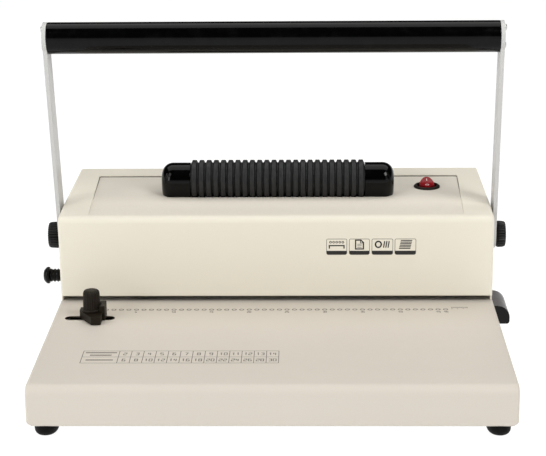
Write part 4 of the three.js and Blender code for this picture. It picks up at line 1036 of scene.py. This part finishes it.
class Print:
    """Thin raised ink on a flat face: across the axis, between two heights along it."""

    def __init__(self, name, axis, low, high):
        self.name, self.axis, self.low, self.high = name, axis, low, high
        self.bm = bmesh.new()

    def points(self, outline, height):
        return [self.bm.verts.new(Vector(placed(self.axis, a, b, height)) * MM) for a, b in outline]

    def band(self, first, second, closed):
        """A solid strip between two point rows of the same length."""
        rows = [self.points(first, self.low), self.points(first, self.high),
                self.points(second, self.high), self.points(second, self.low)]
        skin(self.bm, rows, looped=True, closed=closed)
        if not closed:
            self.bm.faces.new([row[0] for row in rows])
            self.bm.faces.new([row[-1] for row in reversed(rows)])

    def line(self, points, width):
        """A stroke of the width along the points; it is closed if its last point is its first."""
        sharpest = 0.35
        closed = points[0] == points[-1]
        path = [Vector(point) for point in (points[:-1] if closed else points)]
        ways = [(after - here).normalized() for here, after in zip(path, path[1:] + path[:1])]
        if not closed:
            ways[-1] = ways[-2]
        left, right = [], []
        for i, here in enumerate(path):
            into = ways[i - 1] if i or closed else ways[0]
            bisector = (into + ways[i]).normalized()
            reach = Vector((-bisector.y, bisector.x)) * (width / 2 / max(bisector.dot(into), sharpest))
            left.append(tuple(here + reach))
            right.append(tuple(here - reach))
        self.band(left, right, closed)

    def ring(self, middle, radii, width, sides=20):
        """The line of an ellipse with its radii across and up."""
        rims = [ellipse(middle, radii[0] - inset, radii[1] - inset, sides) for inset in (0, width)]
        self.band(*rims, True)

    def solid(self, outline):
        skin(self.bm, [self.points(outline, self.low), self.points(outline, self.high)])

    def number(self, value, middle, height, width):
        """A plain number centred on its middle."""
        text = str(value)
        step, across = height * 0.72, height * 0.46
        start = middle[0] - (step * (len(text) - 1) + across) / 2
        for i, digit in enumerate(text):
            for stroke in DIGITS[digit]:
                self.line([(start + i * step + a * across, middle[1] + (b - 1) * height / 2)
                           for a, b in stroke], width)

    def finish(self, look):
        return dressed(link_mesh(self.name, self.bm), look, "machine", weighted=False)


def hole_marks():
    """A ring for each hole, numbers at every fifth and the last, and a fine scale to their right."""
    marks = Print("hole_marks", "Z", TABLE_Z - INK_LIFT, TABLE_Z + INK_LIFT)
    holes, row, numbers = 46, -2.0, -7.9
    for i in range(holes):
        x = (i - (holes - 1) / 2) * PITCH
        marks.ring((x, row), (2.1, 2.1), 0.75)
        if (i + 1) % 5 == 0 or i == holes - 1:
            marks.number(i + 1, (x, numbers), 2.6, 0.5)
    left, right, rear, width = 148.3, 161.6, 3.6, 0.3
    marks.line([(left, rear), (right, rear)], width)
    for i in range(15):
        x = left + 0.95 * i
        marks.line([(x, rear - 0.1), (x, rear - (2.5 if i % 5 else 5.1))], width)
    return marks.finish(BROWN_INK)


def paper_chart():
    """A plain table of numbers: a header cell, thirteen columns and two rows."""
    chart = Print("paper_chart", "Z", TABLE_Z - INK_LIFT, TABLE_Z + INK_LIFT)
    left, header, right, front, rear = -149.5, -121.0, 4.4, -124.5, -98.5
    middle = (rear + front) / 2
    first, second = (rear + middle) / 2, (front + middle) / 2
    columns, frame_width, tall, stroke = 13, 0.55, 4.8, 0.75
    chart.line([(left, front), (right, front), (right, rear), (left, rear), (left, front)], frame_width)
    chart.line([(left, middle), (right, middle)], 0.5)
    step = (right - header) / columns
    for k in range(columns):
        x = header + step * k
        chart.line([(x, front), (x, rear)], frame_width)
        chart.number(2 + k, (x + step / 2, first), tall, stroke)
        chart.number(6 + 2 * k, (x + step / 2, second), tall, stroke)
    centre = (header + left) / 2
    for y, share in ((first + 2.6, 0.86), (first - 2.6, 0.6), (second, 0.75)):
        reach = (header - left) * share / 2
        chart.line([(centre - reach, y), (centre + reach, y)], 1.9)
    return chart.finish(GREY_INK)


def icon_holes(icon, x, z):
    for k in range(5):
        icon.ring((x - 5.2 + 2.6 * k, z + 2.4), (1.1, 1.1), 0.6, 14)
    icon.line([(x - 6.2, z - 3.2), (x - 6.2, z - 0.6), (x + 6.2, z - 0.6), (x + 6.2, z - 3.2)], 1.1)


def icon_sheet(icon, x, z):
    icon.line([(x - 3.2, z - 3.6), (x + 3.4, z - 3.6), (x + 3.4, z + 2.0), (x + 1.2, z + 4.2),
               (x - 3.2, z + 4.2), (x - 3.2, z - 3.6)], 1.1)
    icon.line([(x + 0.9, z + 4.2), (x + 0.9, z + 1.7), (x + 3.4, z + 1.7)], 0.6)
    for k in range(3):
        icon.line([(x - 1.7, z + 0.6 - 1.4 * k), (x + 1.9, z + 0.6 - 1.4 * k)], 0.45)


def icon_coil(icon, x, z):
    icon.ring((x - 3.4, z + 0.4), (3.1, 3.3), 1.3, 24)
    for k in range(3):
        icon.line([(x + 1.0 + 1.9 * k, z - 2.5), (x + 1.9 + 1.9 * k, z + 3.4)], 1.0)


def icon_stack(icon, x, z):
    for k in range(6):
        icon.line([(x - 5.4 + 0.3 * k, z - 3.2 + 1.4 * k), (x + 4.2 + 0.3 * k, z - 3.2 + 1.4 * k)], 0.85)


def icon_labels():
    """Four plain picture boxes on the housing's front, with a dark foot each."""
    face = HOUSING_FRONT
    frames = Print("icon_frames", "Y", face - INK_LIFT, face + INK_LIFT)
    icons = Print("icon_marks", "Y", face - INK_LIFT - 0.01, face + INK_LIFT)
    low, high, foot_top, rim = 82.8, 96.6, 86.2, 0.1
    spans = ((43.0, 60.1), (62.2, 79.2), (81.3, 98.9), (100.7, 118.3))
    for (left, right), draw in zip(spans, (icon_holes, icon_sheet, icon_coil, icon_stack)):
        outline = rectangle(left, right, low, high, (1.6, 1.6, 1.2, 1.2), 4)
        frames.line(outline + outline[:1], 0.45)
        icons.solid(rectangle(left + rim, right - rim, low + rim, foot_top, (1.5, 1.5, 0, 0), 4))
        draw(icons, (left + right) / 2, (foot_top + high) / 2)
    frames.finish(GREY_INK)
    return icons.finish(BLACK_INK)


# Finishes of the CAD pieces that stay as they are

def finish_nodes():
    looks = {
        STEEL: "side_frame_left side_frame_right cross_beam die_plate stripper_plate throat_spacer "
               "punch_bar guide_post_left guide_post_right main_shaft press_cam_left press_cam_right "
               "roller_shaft back_gauge",
        ZINC: "base_plate roller_frame guide_nut drawer_rail_front drawer_rail_rear",
        BRONZE: "bearing_left bearing_right roller_bearing_left roller_bearing_right",
        SATIN: "grip_plug_left grip_plug_right roller_pulley motor_pulley",
        RIB: "drive_belt",
        MOTOR_CASE: "motor",
        COVER: "chip_drawer",
    }
    for look, names in looks.items():
        for name in names.split():
            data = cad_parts[name].data
            data.materials.clear()
            data.materials.append(look)


# Stage; its sizes are in metres

def make_stage():
    """Studio light that fades above the horizon, and a floor of glowing paper."""
    world = bpy.data.worlds.new("studio")
    world.use_nodes = True
    nodes = Nodes(world.node_tree, "Generated")
    background = world.node_tree.nodes["Background"]
    background.inputs["Color"].default_value = (1, 1, 1, 1)
    nodes.link(nodes.spread(nodes.coordinate("Z"), 1.0, 0.02, 0.04, 0.22), background.inputs["Strength"])
    bpy.context.scene.world = world
    bpy.context.scene.view_settings.view_transform = "Standard"
    reach = 12.0
    bm = bmesh.new()
    bm.faces.new([bm.verts.new((x, y, 0)) for x, y in rectangle(-reach, reach, -reach, reach)])
    floor = link_mesh("floor", bm)
    look = Look("floor_paper")
    cloud = look.spread(look.noise(2.0, 3.0))
    look.color(look.mix(cloud, (0.14, 0.14, 0.139, 1), (0.16, 0.16, 0.159, 1)))
    look.rough(look.spread(look.noise(30.0), 0.75, 0.85))
    look.shader.inputs["Emission Color"].default_value = (1, 1, 0.995, 1)
    look.shader.inputs["Emission Strength"].default_value = 0.96
    floor.data.materials.append(look.material)


def softbox(name, place, target, width, height, power):
    data = bpy.data.lights.new(name, "AREA")
    data.shape = "RECTANGLE"
    data.size = width
    data.size_y = height
    data.energy = power
    data.color = (1.0, 0.995, 0.985)
    lamp = link_object(name, data)
    lamp.location = place
    lamp.rotation_mode = "QUATERNION"
    lamp.rotation_quaternion = (target - place).to_track_quat("-Z", "Y")


def make_lights():
    """Softboxes round the machine: (name, degrees right of the front, degrees up, width, height, watts)."""
    focus = Vector((0, 0, 0.08))
    distance = 1.9
    for name, around, up, width, height, power in (
            ("left_key", -45, 18, 0.6, 0.8, 7.5), ("left_high", -45, 45, 0.7, 0.7, 4.5),
            ("right_low", 45, 18, 0.6, 0.8, 1.5), ("right_high", 45, 45, 0.7, 0.7, 17.5),
            ("left_side", -75, 25, 0.7, 0.8, 7.7)):
        turn, rise = math.radians(around), math.radians(up)
        away = Vector((math.sin(turn) * math.cos(rise), -math.cos(turn) * math.cos(rise), math.sin(rise)))
        softbox(name, focus + distance * away, focus, width, height, power)
    softbox("top_light", Vector((0.0, 0.45, 1.5)), focus, 2.4, 1.2, 15.8)


make_camera()
base_cover()
foot("foot_front_left", -170.2, -164.2)
foot("foot_front_right", 170.2, -164.2)
foot("foot_rear_left", -171, 149)
foot("foot_rear_right", 171, 149)
housing_cover()
rear_cover()
rear_screws()
power_inlet()
arm(-1)
arm(1)
grip_tube()
grip_screws()
hand_knob(-1)
hand_knob(1)
shaft_collar(-1)
shaft_collar(1)
coil_roller()
roller_cap(-1)
roller_cap(1)
switch_body()
rocker()
guide_block()
clamp_knob()
margin_knob()
drawer_pull()
return_spring("return_spring_left")
return_spring("return_spring_right")
slot_liner()
recess_seam()
hole_marks()
paper_chart()
icon_labels()
finish_nodes()
make_stage()
make_lights()
